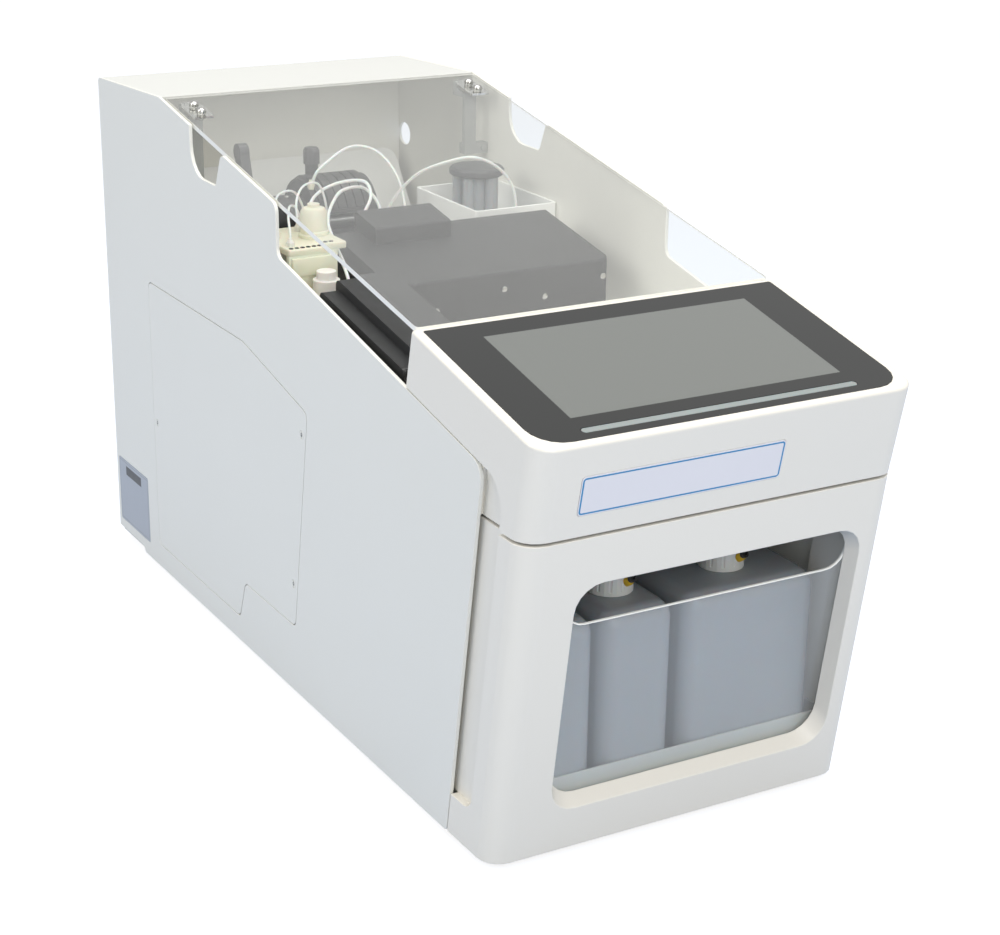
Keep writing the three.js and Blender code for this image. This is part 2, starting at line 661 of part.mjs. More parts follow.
function buildHead() {
  const h = head;
  const drop = (h.originZ - h.bottomZ) * 1.5 + overrun;
  const round = { bevelEnabled: true, bevelThickness: h.edgeRound, bevelSize: h.edgeRound, bevelOffset: -h.edgeRound, bevelSegments: 3 };
  const below = box(-body.width, body.width, -body.depth, body.depth, -body.height, h.bottomZ);
  const outer = headSolid(headOutline(0, h.cornerRadius, h.rearRadius), -drop, -h.edgeRound, round);
  const hollow = headSolid(headOutline(h.wall, h.cornerRadius - h.wall, h.wall), -drop - overrun, -h.topWall);
  const linerShape = headRecess(grip.liner);
  const recessShape = headRecess(0);
  const behindY = (z) => panelFront(z) + grip.behind;
  const behindCut = filleted([
    [behindY(0), 0],
    [h.rearY + overrun, 0],
    [h.rearY + overrun, body.height],
    [behindY(body.height), body.height],
  ]);
  let made = cut(outer, hollow);
  for (const side of [-1, 1]) {
    const along = (shape, a, b) => prismX(shape, Math.min(side * a, side * b), Math.max(side * a, side * b));
    const liner = along(linerShape, halfWidth - grip.depth - grip.liner, halfWidth - h.wall / 2).intersect(outer);
    const deep = cut(
      along(recessShape, halfWidth - grip.depth, halfWidth + overrun),
      along(behindCut, 0, halfWidth - h.wall + touchGap),
    );
    const shelfDepth = panel.thickness + touchGap;
    const shallow = along(recessShape, halfWidth - shelfDepth, halfWidth + overrun);
    made = cut(joined(made, liner), deep.intersect(along(gripZone(), 0, halfWidth + overrun)), shallow);
  }
  made = joined(cut(made, below), lidLedge());
  const glassPocket = glassOutline(0);
  made = cut(made, headSolid(glassPocket, -h.glassDepth, overrun));
  const window = activeOutline(h.openingMargin);
  made = cut(made, headSolid(window, -h.topWall - overrun, overrun));
  const barSlot = barOutline(touchGap);
  made = cut(made, headSolid(barSlot, -h.topWall - overrun, overrun));
  // Badge recess on the front face, seen in the head frame as an outline across u and w.
  made = cut(made, badgeSolid(touchGap));
  piece("head_moulding", made, FINISHES.mouldingWhite);
}

// The ledge on the head's rear wall that the lid's front edge rests on
function lidLedge() {
  const seat = (y) => lidBottom(y) - touchGap;
  const from = head.rearY - head.wall / 2;
  const to = head.rearY + head.ledge;
  const outline = filleted([
    [from, seat(from)],
    [from, seat(from) - head.ledge * 2],
    [to, seat(to) - head.ledge / 2],
    [to, seat(to)],
  ]);
  return prismX(outline, lid.sideGap - innerHalf, innerHalf - lid.sideGap);
}

function gripZone() {
  const rear = (z) => panelFront(z) + grip.behind;
  const low = head.bottomZ - overrun;
  const high = body.height;
  return filleted([
    [-body.depth, low],
    [rear(low), low],
    [rear(high), high],
    [-body.depth, high],
  ]);
}

function glassOutline(inset) {
  const u = halfWidth - head.sideRim - inset;
  const v0 = head.frontRim + inset;
  const v1 = headLength - head.rearRim - inset;
  return filleted([
    [-u, v0, head.glassCorner],
    [u, v0, head.glassCorner],
    [u, v1, head.glassRearCorner],
    [-u, v1, head.glassRearCorner],
  ]);
}

function activeOutline(margin) {
  const u = head.activeWidth / 2 + margin;
  const v0 = head.frontRim + head.activeFrontInset - margin;
  return rectangle(-u, u, v0, v0 + head.activeHeight + 2 * margin);
}

function barOutline(grow) {
  const u = head.barWidth / 2 + grow;
  const v0 = head.frontRim + head.barInset - head.barHeight / 2 - grow;
  const v1 = v0 + head.barHeight + 2 * grow;
  return rectangle(-u, u, v0, v1, (v1 - v0) * 0.49);
}

// The bare badge plate on the head's front face
const badge = { left: -121, right: 46, top: 311.5, bottom: 281.5, radius: 3, thickness: 1, recess: 0.6 };
function badgeSolid(grow) {
  const c = Math.cos(body.headSlope);
  const w0 = (badge.bottom - head.originZ) / c - grow;
  const w1 = (badge.top - head.originZ) / c + grow;
  const shape = rectangle(badge.left - grow, badge.right + grow, w0, w1, badge.radius);
  const from = badge.recess - badge.thickness;
  return toSolid(prismGeometry("y", shape, from - (grow > 0 ? overrun : 0), badge.recess + grow).applyMatrix4(headMatrix));
}

function buildDisplay() {
  const h = head;
  const top = -h.glassDepth + touchGap + h.glassThickness;
  let glass = headSolid(glassOutline(touchGap), -h.glassDepth + touchGap, top);
  glass = cut(glass, headSolid(barOutline(touchGap), -h.glassDepth - overrun, overrun));
  piece("display_glass", glass, FINISHES.blackGlass);
  piece("status_light_bar", headSolid(barOutline(0), top - h.barDepth, top), FINISHES.lightBar);
  const face = -h.glassDepth;
  const screen = headSolid(activeOutline(h.openingMargin - touchGap), face - h.topWall, face);
  const chassis = headSolid(activeOutline(h.moduleMargin), face - h.topWall - h.moduleDepth, -h.topWall - touchGap);
  piece("display_module", joined(screen, chassis), FINISHES.screenGrey);
  piece("badge_plate", badgeSolid(0), FINISHES.badge);
}

// The reagent drawer
const front = { topZ: 262.4, bottomZ: 0.6, wall: 3.5, cornerRadius: 18, rearGap: 1.2, linerBehind: 6 };
const opening = {
  left: -112.6, right: 135.6, bottom: 35.3, top: 224.4, radius: 22,
  depth: 12, sideDraft: 4.6, sillDraft: 8, topDraft: 1, flange: 6,
};
const pane = { thickness: 3, margin: 5, cutTopZ: 187, cutRadius: 16, hornWidth: 8, hornTopZ: 232 };

function sheared(solid) {
  return toGeometry(solid).applyMatrix4(leanShear);
}

function openingOutline(depthShare, grow = 0) {
  const o = opening;
  return filleted([
    [o.left + o.sideDraft * depthShare - grow, o.bottom + o.sillDraft * depthShare - grow, o.radius],
    [o.right - o.sideDraft * depthShare + grow, o.bottom + o.sillDraft * depthShare - grow, o.radius],
    [o.right - o.sideDraft * depthShare + grow, o.top - o.topDraft * depthShare + grow, o.radius],
    [o.left + o.sideDraft * depthShare - grow, o.top - o.topDraft * depthShare + grow, o.radius],
  ]);
}

function buildDrawerFront() {
  const f = front;
  const rear = panel.frontY - f.rearGap;
  const linerRear = panel.frontY + f.linerBehind;
  const plan = (inset, back) =>
    filleted([
      [-halfWidth + inset, back],
      [-halfWidth + inset, inset, f.cornerRadius - inset],
      [halfWidth - inset, inset, f.cornerRadius - inset],
      [halfWidth - inset, back],
    ]);
  let made = cut(
    prismZ(plan(0, rear), f.bottomZ, f.topZ),
    prismZ(plan(f.wall, rear + overrun), f.bottomZ + f.wall, f.topZ - f.wall),
  );
  // Finger recesses: a liner is added behind each wall and the recess is cut from it.
  const recess = (offset, back) =>
    filleted([
      [grip.stepY - offset, grip.bottomZ - offset, grip.bottomRadius],
      [back, grip.bottomZ - offset, 0],
      [back, f.topZ + overrun],
      [grip.stepY - offset, f.topZ + overrun],
    ]);
  const roof = box(-body.width, body.width, -overrun, body.depth, f.topZ, body.height);
  for (const side of [-1, 1]) {
    const along = (shape, a, b) => prismX(shape, Math.min(side * a, side * b), Math.max(side * a, side * b));
    const linerOut = halfWidth - grip.depth;
    const liner = along(recess(grip.liner, rear), linerOut - grip.liner, halfWidth - f.wall / 2);
    const tail = along(recess(0, linerRear), linerOut - grip.liner, linerOut);
    made = joined(made, cut(joined(liner, tail), roof));
    made = cut(made, along(recess(0, rear + overrun), linerOut, halfWidth + overrun));
  }
  const o = opening;
  const reveal = prismY(openingOutline(0, o.flange), f.wall / 2, o.depth);
  const through = loftY(openingOutline(-overrun / o.depth), -overrun, openingOutline(1 + overrun / o.depth), o.depth + overrun);
  made = cut(joined(made, reveal), through);
  piece("drawer_front", sheared(made), FINISHES.mouldingWhite);
}

function buildPane() {
  const o = opening;
  const x0 = o.left - pane.margin;
  const x1 = o.right + pane.margin;
  const bottom = o.bottom + touchGap;
  const outline = filleted([
    [x0, bottom, pane.margin],
    [x1, bottom, pane.margin],
    [x1, pane.hornTopZ, pane.hornWidth / 3],
    [x1 - pane.hornWidth, pane.hornTopZ, pane.hornWidth / 3],
    [x1 - pane.hornWidth, pane.cutTopZ, pane.cutRadius],
    [x0 + pane.hornWidth, pane.cutTopZ, pane.cutRadius],
    [x0 + pane.hornWidth, pane.hornTopZ, pane.hornWidth / 3],
    [x0, pane.hornTopZ, pane.hornWidth / 3],
  ]);
  const from = o.depth + touchGap;
  piece("window_pane", sheared(prismY(outline, from, from + pane.thickness)), FINISHES.clear);
}

const tray = {
  frontY: 15,
  rearY: 214,
  floorZ: 14,
  sheet: 1.6,
  wallTopZ: 52,
  halfWidth: halfWidth - grip.depth - grip.liner - 0.4,
  cornerRadius: 6,
  dividerGap: 1,
};
const rails = { x: halfWidth - 51, width: 12, bottomZ: 5.3, frontY: 34, rearY: 344, bar: 12, channelWall: 1.5, channelGap: 0.5 };
rails.topZ = tray.floorZ - touchGap;
const drawerTravel = 185;

function buildTray() {
  const t = tray;
  const plan = (inset) => rectangle(-t.halfWidth + inset, t.halfWidth - inset, t.frontY + inset, t.rearY - inset, t.cornerRadius);
  const shellTray = cut(prismZ(plan(0), t.floorZ, t.wallTopZ), prismZ(plan(t.sheet), t.floorZ + t.sheet, t.wallTopZ + overrun));
  piece("drawer_tray", shellTray, FINISHES.translucent);
  for (const [name, side] of [["drawer_rail_left", -1], ["drawer_rail_right", 1]]) {
    const x = side * rails.x;
    const half = rails.width / 2;
    const rail = box(x - half, x + half, rails.frontY, rails.rearY, rails.bottomZ, rails.topZ);
    const groove = box(x - half / 2, x + half / 2, rails.frontY - overrun, rails.rearY + overrun, rails.topZ - half / 2, rails.topZ + overrun);
    piece(name, cut(rail, groove), FINISHES.steel);
  }
  for (const [name, side] of [["slide_channel_left", -1], ["slide_channel_right", 1]]) {
    const x = side * rails.x;
    const inner = rails.width / 2 + rails.channelGap;
    const outer = inner + rails.channelWall;
    const low = shell.floorZ + shell.sheet + touchGap;
    const channelTop = rails.topZ - rails.channelWall;
    const y0 = shell.floorFrontY + touchGap;
    const y1 = rails.rearY + rails.bar;
    const channel = cut(
      box(x - outer, x + outer, y0, y1, low, channelTop),
      box(x - inner, x + inner, y0 - overrun, rails.rearY + touchGap * 2, rails.bottomZ - touchGap, body.height),
    );
    piece(name, channel, FINISHES.zinc);
  }
}

// Reagent cans with screw caps
const can = { depth: 190, height: 154, frontY: 17.5, radius: 14, round: 12, segments: 3, neckRadius: 14, neckHeight: 7, steps: 4 };
const cap = { radius: 18, height: 18, ribDepth: 0.9, ribs: 12, boreRadius: 14.6, frontInset: 44, hub: 5 };
const cans = [
  ["left", -144, -61],
  ["middle", -54.5, 8.5],
  ["right", 18, 139],
];
const canZ = tray.floorZ + tray.sheet + touchGap;

function buildCans() {
  const bevel = {
    bevelEnabled: true, bevelThickness: can.round, bevelSize: can.round, bevelOffset: -can.round, bevelSegments: can.segments,
  };
  for (const [name, x0, x1] of cans) {
    const group = new THREE.Group();
    group.position.set((x0 + x1) / 2, can.frontY, canZ);
    frame.add(group);
    const half = (x1 - x0) / 2;
    const plan = rectangle(-half, half, 0, can.depth, can.radius, can.steps);
    const bottle = toSolid(prismGeometry("z", plan, can.round, can.height - can.round, bevel));
    const neck = rod("z", can.neckRadius, can.height - can.round, can.height + can.neckHeight, 0, cap.frontInset, roundSides);
    const bore = rod("z", can.neckRadius / 2, can.height - can.round, can.height + overrun, 0, cap.frontInset);
    piece(`reagent_can_${name}`, cut(joined(bottle, neck), bore), FINISHES.translucent, datum, group);
    const wall = cap.radius - cap.boreRadius;
    let top = turned([
      [cap.boreRadius, 0],
      [cap.radius, 0],
      [cap.radius, cap.height - wall],
      [cap.radius - wall, cap.height],
      [0, cap.height],
      [0, can.neckHeight],
      [cap.boreRadius, can.neckHeight],
      [cap.boreRadius, 0],
    ]);
    for (let i = 0; i < cap.ribs; i++) {
      const angle = (i * 2 * Math.PI) / cap.ribs;
      const x = Math.cos(angle) * (cap.radius + cap.ribDepth);
      const y = Math.sin(angle) * (cap.radius + cap.ribDepth);
      top = cut(top, rod("z", cap.ribDepth * 2, wall, cap.height + overrun, x, y, smallSides / 2));
    }
    top = joined(top, rod("z", cap.hub, cap.height - touchGap, cap.height + cap.hub, 0, 0));
    const seat = new THREE.Vector3(0, cap.frontInset, can.height + touchGap);
    piece(`can_cap_${name}`, top, FINISHES.capWhite, seat, group);
  }
}

// The lid with its two bolted hinges
const hinge = {
  x: halfWidth - 22, leafWidth: 20, leafThickness: 2, pinRadius: 2, knuckleRadius: 4, knuckleWidth: 9, axisInset: 9,
  boltPitch: 17, boltInset: 24, boltRadius: 2, boltClearance: 0.6, nutRadius: 4.2, nutHeight: 2.2, plateMargin: 6,
  barWidth: 12, barThickness: 5, barInset: 22, barFootZ: body.height - 74, footHeight: 10, earThickness: 2.2, footScrewRadius: 2.4,
};
hinge.axisY = lid.rearY - hinge.axisInset;
hinge.axisZ = lidBottom(hinge.axisY) - hinge.knuckleRadius - touchGap;

const lidMatrix = new THREE.Matrix4()
  .makeRotationX(body.lidSlope)
  .setPosition(0, lid.rearY, lidTop(lid.rearY));
const lidLength = (lid.rearY - lid.frontY) / Math.cos(body.lidSlope);

function buildLid() {
  const u = innerHalf - lid.sideGap;
  const outline = filleted([
    [-u, -lidLength, lid.cornerRadius],
    [u, -lidLength, lid.cornerRadius],
    [u, 0, hinge.pinRadius],
    [-u, 0, hinge.pinRadius],
  ]);
  let plate = prismZ(outline, -lid.thickness, 0);
  for (const side of [-1, 1]) {
    for (let i = 0; i < 2; i++) {
      const v = -hinge.boltInset - i * hinge.boltPitch;
      const radius = hinge.boltRadius + touchGap;
      plate = cut(plate, rod("z", radius, -lid.thickness - overrun, overrun, side * hinge.x, v));
    }
  }
  piece("lid_panel", toGeometry(plate).applyMatrix4(lidMatrix), FINISHES.clear);

  for (const [name, side] of [["hinge_leaf_left", -1], ["hinge_leaf_right", 1]]) {
    const g = hinge;
    const x = side * g.x;
    const under = -lid.thickness - touchGap;
    const lastBolt = -g.boltInset - g.boltPitch;
    const half = g.leafWidth / 2;
    const strapEnd = -g.axisInset - g.knuckleRadius * 2;
    const strap = rectangle(x - half, x + half, lastBolt - g.plateMargin, strapEnd, g.boltRadius);
    let leaf = prismZ(strap, under - g.leafThickness, under);
    const tongueHalf = g.knuckleWidth / 2;
    leaf = joined(
      leaf,
      box(x - tongueHalf, x + tongueHalf, strapEnd - g.boltRadius, -g.axisInset, under - g.leafThickness, under),
    );
    for (let i = 0; i < 2; i++) {
      const v = -g.boltInset - i * g.boltPitch;
      const nutBase = touchGap;
      const dome = turned([
        [0, 0],
        [g.nutRadius, 0],
        [g.nutRadius, g.nutHeight],
        [g.nutRadius * 0.85, g.nutHeight * 1.5],
        [g.nutRadius * 0.5, g.nutHeight * 1.85],
        [0, g.nutHeight * 2],
      ], smallSides);
      const nut = toSolid(toGeometry(dome).translate(x, v, nutBase));
      leaf = joined(leaf, rod("z", g.boltRadius, under - g.leafThickness - g.boltRadius, nutBase + g.nutHeight, x, v, smallSides), nut);
    }
    // The knuckle sits round the pin, in world measures turned back into the lid frame.
    const inverse = lidMatrix.clone().invert();
    const centre = new THREE.Vector3(0, g.axisY, g.axisZ).applyMatrix4(inverse);
    const barrel = rod("x", g.knuckleRadius, x - g.knuckleWidth / 2, x + g.knuckleWidth / 2, centre.y, centre.z, roundSides);
    const webTop = under - g.leafThickness / 2;
    const neck = box(
      x - g.knuckleWidth / 2, x + g.knuckleWidth / 2, centre.y - g.knuckleRadius, centre.y + g.knuckleRadius / 2, centre.z, webTop,
    );
    const bore = rod("x", g.pinRadius + touchGap, x - overrun, x + overrun, centre.y, centre.z);
    leaf = cut(joined(leaf, neck, barrel), bore);
    piece(name, toGeometry(leaf).applyMatrix4(lidMatrix), FINISHES.steel);
  }

  for (const [name, side] of [["hinge_bracket_left", -1], ["hinge_bracket_right", 1]]) {
    const g = hinge;
    const x = side * g.x;
    const earGap = g.knuckleWidth / 2 + touchGap;
    const earOuter = earGap + g.earThickness;
    const barY1 = g.axisY - g.barInset + g.barThickness + g.knuckleRadius;
    const barY0 = barY1 - g.barThickness;
    const earTopZ = g.axisZ + g.knuckleRadius * 0.8;
    const earLowZ = g.axisZ - g.knuckleRadius * 2.4;
    let bracket = rod("x", g.pinRadius, x - earOuter, x + earOuter, g.axisY, g.axisZ);
    for (const way of [-1, 1]) {
      const a = x + way * earGap;
      const b = x + way * earOuter;
      const ear = filleted([
        [barY0, earLowZ],
        [g.axisY + g.knuckleRadius, earLowZ],
        [g.axisY + g.knuckleRadius, earTopZ, g.knuckleRadius * 0.8],
        [g.axisY - g.knuckleRadius, earTopZ, g.knuckleRadius * 0.8],
        [g.axisY - g.knuckleRadius, g.axisZ - g.knuckleRadius * 0.6],
        [barY0, earLowZ + g.knuckleRadius],
      ]);
      bracket = joined(bracket, prismX(ear, Math.min(a, b), Math.max(a, b)));
    }
    const half = g.barWidth / 2;
    bracket = joined(bracket, box(x - half, x + half, barY0, barY1, g.barFootZ, earLowZ + g.knuckleRadius));
    bracket = joined(bracket, box(x - earOuter, x + earOuter, barY0, g.axisY + g.knuckleRadius, earLowZ, earLowZ + g.earThickness));
    const wallX = side * (innerHalf - touchGap);
    const footX0 = Math.min(x - half, wallX);
    const footX1 = Math.max(x + half, wallX);
    bracket = joined(bracket, box(footX0, footX1, barY0, barY1 + g.barThickness, g.barFootZ, g.barFootZ + g.footHeight));
    const screwX = side * (innerHalf - g.footHeight / 2 - touchGap);
    bracket = joined(
      bracket,
      rod("y", g.footScrewRadius, barY0 - g.footScrewRadius / 2, barY0 + touchGap, screwX, g.barFootZ + g.footHeight / 2),
    );
    piece(name, bracket, FINISHES.darkGrey);
  }
}

// Modules on the deck
const deckTop = shell.deckZ + touchGap;
const optics = {
  left: -82, right: 125, frontY: 303, rearY: 413, topDrop: 58, sheet: 2, radius: 8,
  blockLeft: -57, blockRight: 14, blockFrontY: 381, blockRearY: 421, blockRise: 14,
  screwRadius: 2.4, screwProud: 1.2, screwDrop: 14, screwEnds: 8, screws: 3, skirt: 2.5,
};
const block = { left: -151, right: -90, frontY: 147, rearY: 290, topDrop: 36, ridge: 14, ridgeDrop: 8, radius: 5 };

// A cover whose top runs parallel to the lid, as an outline in (y, z).
function underLid(frontY, rearY, low, drop, radius) {
  return filleted([
    [frontY, low],
    [rearY, low],
    [rearY, lidTop(rearY) - drop, radius],
    [frontY, lidTop(frontY) - drop, radius],
  ]);
}

function buildOptics() {
  const o = optics;
  const outer = prismX(underLid(o.frontY, o.rearY, deckTop, o.topDrop, o.skirt), o.left, o.right);
  const plan = (inset) =>
    prismZ(rectangle(o.left + inset, o.right - inset, o.frontY + inset, o.blockRearY - inset, o.radius - inset), 0, body.height);
  const raised = prismX(underLid(o.blockFrontY, o.blockRearY, deckTop, o.topDrop - o.blockRise, o.skirt), o.blockLeft, o.blockRight);
  const innerRaised = prismX(
    underLid(o.blockFrontY + o.sheet, o.blockRearY - o.sheet, deckTop - overrun, o.topDrop - o.blockRise + o.sheet, 0),
    o.blockLeft + o.sheet, o.blockRight - o.sheet,
  );
  const inner = prismX(
    underLid(o.frontY + o.sheet, o.rearY - o.sheet, deckTop - overrun, o.topDrop + o.sheet, 0),
    o.left + o.sheet, o.right - o.sheet,
  );
  let made = cut(joined(outer.intersect(plan(0)), raised), inner, innerRaised);
  for (let i = 0; i < o.screws; i++) {
    const x = o.left + o.screwEnds + ((o.right - o.left - 2 * o.screwEnds) * i) / (o.screws - 1);
    const z = lidTop(o.frontY) - o.topDrop - o.screwDrop;
    made = joined(made, rod("y", o.screwRadius, o.frontY - o.screwProud, o.frontY + o.sheet / 2, x, z));
  }
  piece("optics_cover", made, FINISHES.blackCoat);
  const b = block;
  const full = prismX(underLid(b.frontY, b.rearY, deckTop, b.topDrop, b.radius), b.left + b.ridge, b.right);
  const shoulder = prismX(underLid(b.frontY, b.rearY, deckTop, b.topDrop + b.ridgeDrop, b.radius), b.left, b.right - b.ridge);
  piece("heating_bath", joined(full, shoulder), FINISHES.blackCoat);
}

// Multichannel peristaltic pump: base with cheeks, roller drum, platen and two levers
const pump = {
  x: -10, y: 566, z: 346, baseLeft: -84, baseRight: 30, baseFrontY: 522, baseRearY: 612, baseTopZ: 340, cheek: 5,
  drumHalf: 26, drumRadius: 15, rollerRadius: 5, rollerCircle: 21, rollers: 8, shaftRadius: 5, platenRadius: 30,
  platenThickness: 9, platenArc: THREE.MathUtils.degToRad(150), cheekRadius: 34, motorRadius: 22, motorLength: 30,
};
const lever = { x: -96, pivotY: 548, pivotZ: 352, length: 62, headRadius: 8, neck: 5, thickness: 9, lean: 20, pin: 3.5, boss: 8 };
const post = { x: -18, y: 590, radius: 6, height: 24, headRadius: 7.5 };

function buildPump() {
  const p = pump;
  const inside = p.drumHalf + touchGap * 2;
  let base = box(p.baseLeft, p.baseRight, p.baseFrontY, p.baseRearY, deckTop, p.baseTopZ);
  const clear = rod("x", p.rollerCircle + p.rollerRadius + seam, p.x - inside, p.x + inside, p.y, p.z, roundSides);
  for (const way of [-1, 1]) {
    const a = p.x + way * inside;
    const b = p.x + way * (inside + p.cheek);
    const cheekSolid = rod("x", p.cheekRadius, Math.min(a, b), Math.max(a, b), p.y, p.z, roundSides);
    const below = box(Math.min(a, b), Math.max(a, b), p.y - p.cheekRadius, p.y + p.cheekRadius, p.baseTopZ - p.cheek, p.z);
    base = joined(base, cheekSolid, below);
  }
  const motor = rod(
    "x", p.motorRadius, p.x - inside - p.cheek - p.motorLength, p.x - inside - p.cheek / 2, p.y, p.z + touchGap, roundSides,
  );
  base = cut(joined(base, motor), clear);
  const shaftBore = rod("x", p.shaftRadius + touchGap, p.x - inside - p.cheek / 2, p.x + inside + p.cheek / 2, p.y, p.z);
  base = cut(base, shaftBore);
  // Clevis for the clamping lever
  for (const way of [-1, 1]) {
    const a = lever.x + way * (lever.thickness / 2 + touchGap);
    const b = a + way * p.cheek;
    const lug = filleted([
      [lever.pivotY - lever.boss, p.baseTopZ - p.cheek],
      [lever.pivotY + lever.boss, p.baseTopZ - p.cheek],
      [lever.pivotY + lever.boss, lever.pivotZ + lever.boss, lever.boss * 0.9],
      [lever.pivotY - lever.boss, lever.pivotZ + lever.boss, lever.boss * 0.9],
    ]);
    base = joined(base, prismX(lug, Math.min(a, b), Math.max(a, b)));
  }
  const shelf = box(
    lever.x - lever.boss - p.cheek, p.baseLeft + p.cheek, lever.pivotY - lever.boss, lever.pivotY + lever.boss,
    deckTop, p.baseTopZ - touchGap * 6,
  );
  const pin = rod("x", lever.pin, lever.x - lever.boss, lever.x + lever.boss, lever.pivotY, lever.pivotZ);
  base = joined(base, shelf, pin);
  piece("pump_base", base, FINISHES.blackCoat);

  const group = new THREE.Group();
  group.position.set(p.x, p.y, p.z);
  frame.add(group);
  let drum = rod("x", p.drumRadius, -p.drumHalf, p.drumHalf, 0, 0, roundSides);
  drum = joined(drum, rod("x", p.shaftRadius, -p.drumHalf - p.cheek / 2, p.drumHalf + p.cheek / 2, 0, 0));
  for (const way of [-1, 1]) {
    const a = way * p.drumHalf;
    const b = way * (p.drumHalf - p.cheek);
    drum = joined(drum, rod("x", p.rollerCircle + p.rollerRadius / 2, Math.min(a, b), Math.max(a, b), 0, 0, roundSides));
  }
  for (let i = 0; i < p.rollers; i++) {
    const angle = (i * 2 * Math.PI) / p.rollers;
    const y = Math.cos(angle) * p.rollerCircle;
    const z = Math.sin(angle) * p.rollerCircle;
    drum = joined(drum, rod("x", p.rollerRadius, -p.drumHalf + p.cheek / 2, p.drumHalf - p.cheek / 2, y, z));
  }
  piece("pump_roller_drum", drum, FINISHES.steel, datum, group);

  // Platen arched over the rollers, held between the cheeks by its lips
  const arc = new THREE.Shape();
  const inner = p.rollerCircle + p.rollerRadius + seam;
  const middle = Math.PI / 2;
  arc.absarc(0, 0, inner + p.platenThickness, middle - p.platenArc / 2, middle + p.platenArc / 2, false);
  arc.absarc(0, 0, inner, middle + p.platenArc / 2, middle - p.platenArc / 2, true);
  const platenShape = new THREE.Shape(arc.getPoints(roundSides / 2));
  const overhang = p.drumHalf + p.cheek + touchGap * 2;
  const arch = prismX(platenShape, -overhang, overhang);
  const cheekRoom = rod("x", p.cheekRadius + touchGap, -overhang - overrun, -inside + touchGap, 0, 0, roundSides);
  const cheekRoomRight = rod("x", p.cheekRadius + touchGap, inside - touchGap, overhang + overrun, 0, 0, roundSides);
  let platen = cut(arch, cheekRoom, cheekRoomRight);
  const postY = post.y - p.y;
  const platenTop = inner + p.platenThickness / 2;
  platen = joined(platen, rod("z", post.radius, platenTop * 0.6, platenTop + post.height / 2, post.x - p.x, postY));
  platen = cut(platen, rod("x", inner, -overhang, overhang, 0, 0, roundSides));
  piece("pump_platen", platen, FINISHES.blackCoat, datum, group);
  const knobZ = platenTop + post.height / 2 + touchGap;
  const knob = turned([
    [0, 0],
    [post.headRadius, 0],
    [post.headRadius, post.height / 2],
    [post.radius, post.height * 0.62],
    [0, post.height * 0.62],
  ], smallSides);
  const grips = [0, 1, 2].map((i) => {
    const angle = (i * 2 * Math.PI) / 3;
    const reach = post.headRadius * 1.5;
    return rod("z", post.headRadius * 0.7, -overrun, overrun, Math.cos(angle) * reach, Math.sin(angle) * reach);
  });
  piece("pump_tension_knob", cut(knob, ...grips), FINISHES.darkGrey, new THREE.Vector3(post.x - p.x, postY, knobZ), group);

  const arm = new THREE.Group();
  arm.position.set(lever.x, lever.pivotY, lever.pivotZ);
  frame.add(arm);
  const tip = lever.lean;
  const tall = Math.sqrt(lever.length ** 2 - tip ** 2);
  const half = lever.thickness / 2;
  const hub = rod("x", lever.boss - touchGap, -half, half, 0, 0, roundSides);
  const blade = prismX(
    new THREE.Shape([
      new THREE.Vector2(-lever.neck, 0),
      new THREE.Vector2(lever.neck, 0),
      new THREE.Vector2(tip + lever.headRadius * 0.9, tall),
      new THREE.Vector2(tip - lever.headRadius * 0.9, tall),
    ]),
    -half, half,
  );
  const headDisc = rod("x", lever.headRadius, -half, half, tip, tall, roundSides);
  const hole = rod("x", lever.pin + touchGap, -overrun, overrun, 0, 0);
  const dot = rod("x", lever.headRadius / 2, half - touchGap, half + touchGap * 2, tip, tall);
  piece("pump_clamp_lever", joined(cut(joined(hub, blade, headDisc), hole), dot), FINISHES.darkGrey, datum, arm);
}

// Valve manifold with three solenoid valves, and the mixing coil on its bobbin
const manifold = { left: -147, right: -96, frontY: 318, rearY: 430, topZ: 338, step: 10, radius: 4, portRadius: 3, portRise: 6 };
const valve = { radius: 11, height: 17, capRadius: 8, capHeight: 7, count: 3, x: -123 };
const coil = { x: -66, y: 452, radius: 15, tubeRadius: 1.6, pitch: 4, turns: 7, stepsPerTurn: 24, sides: 6, clearance: 0.5, lift: 16, flange: 3 };

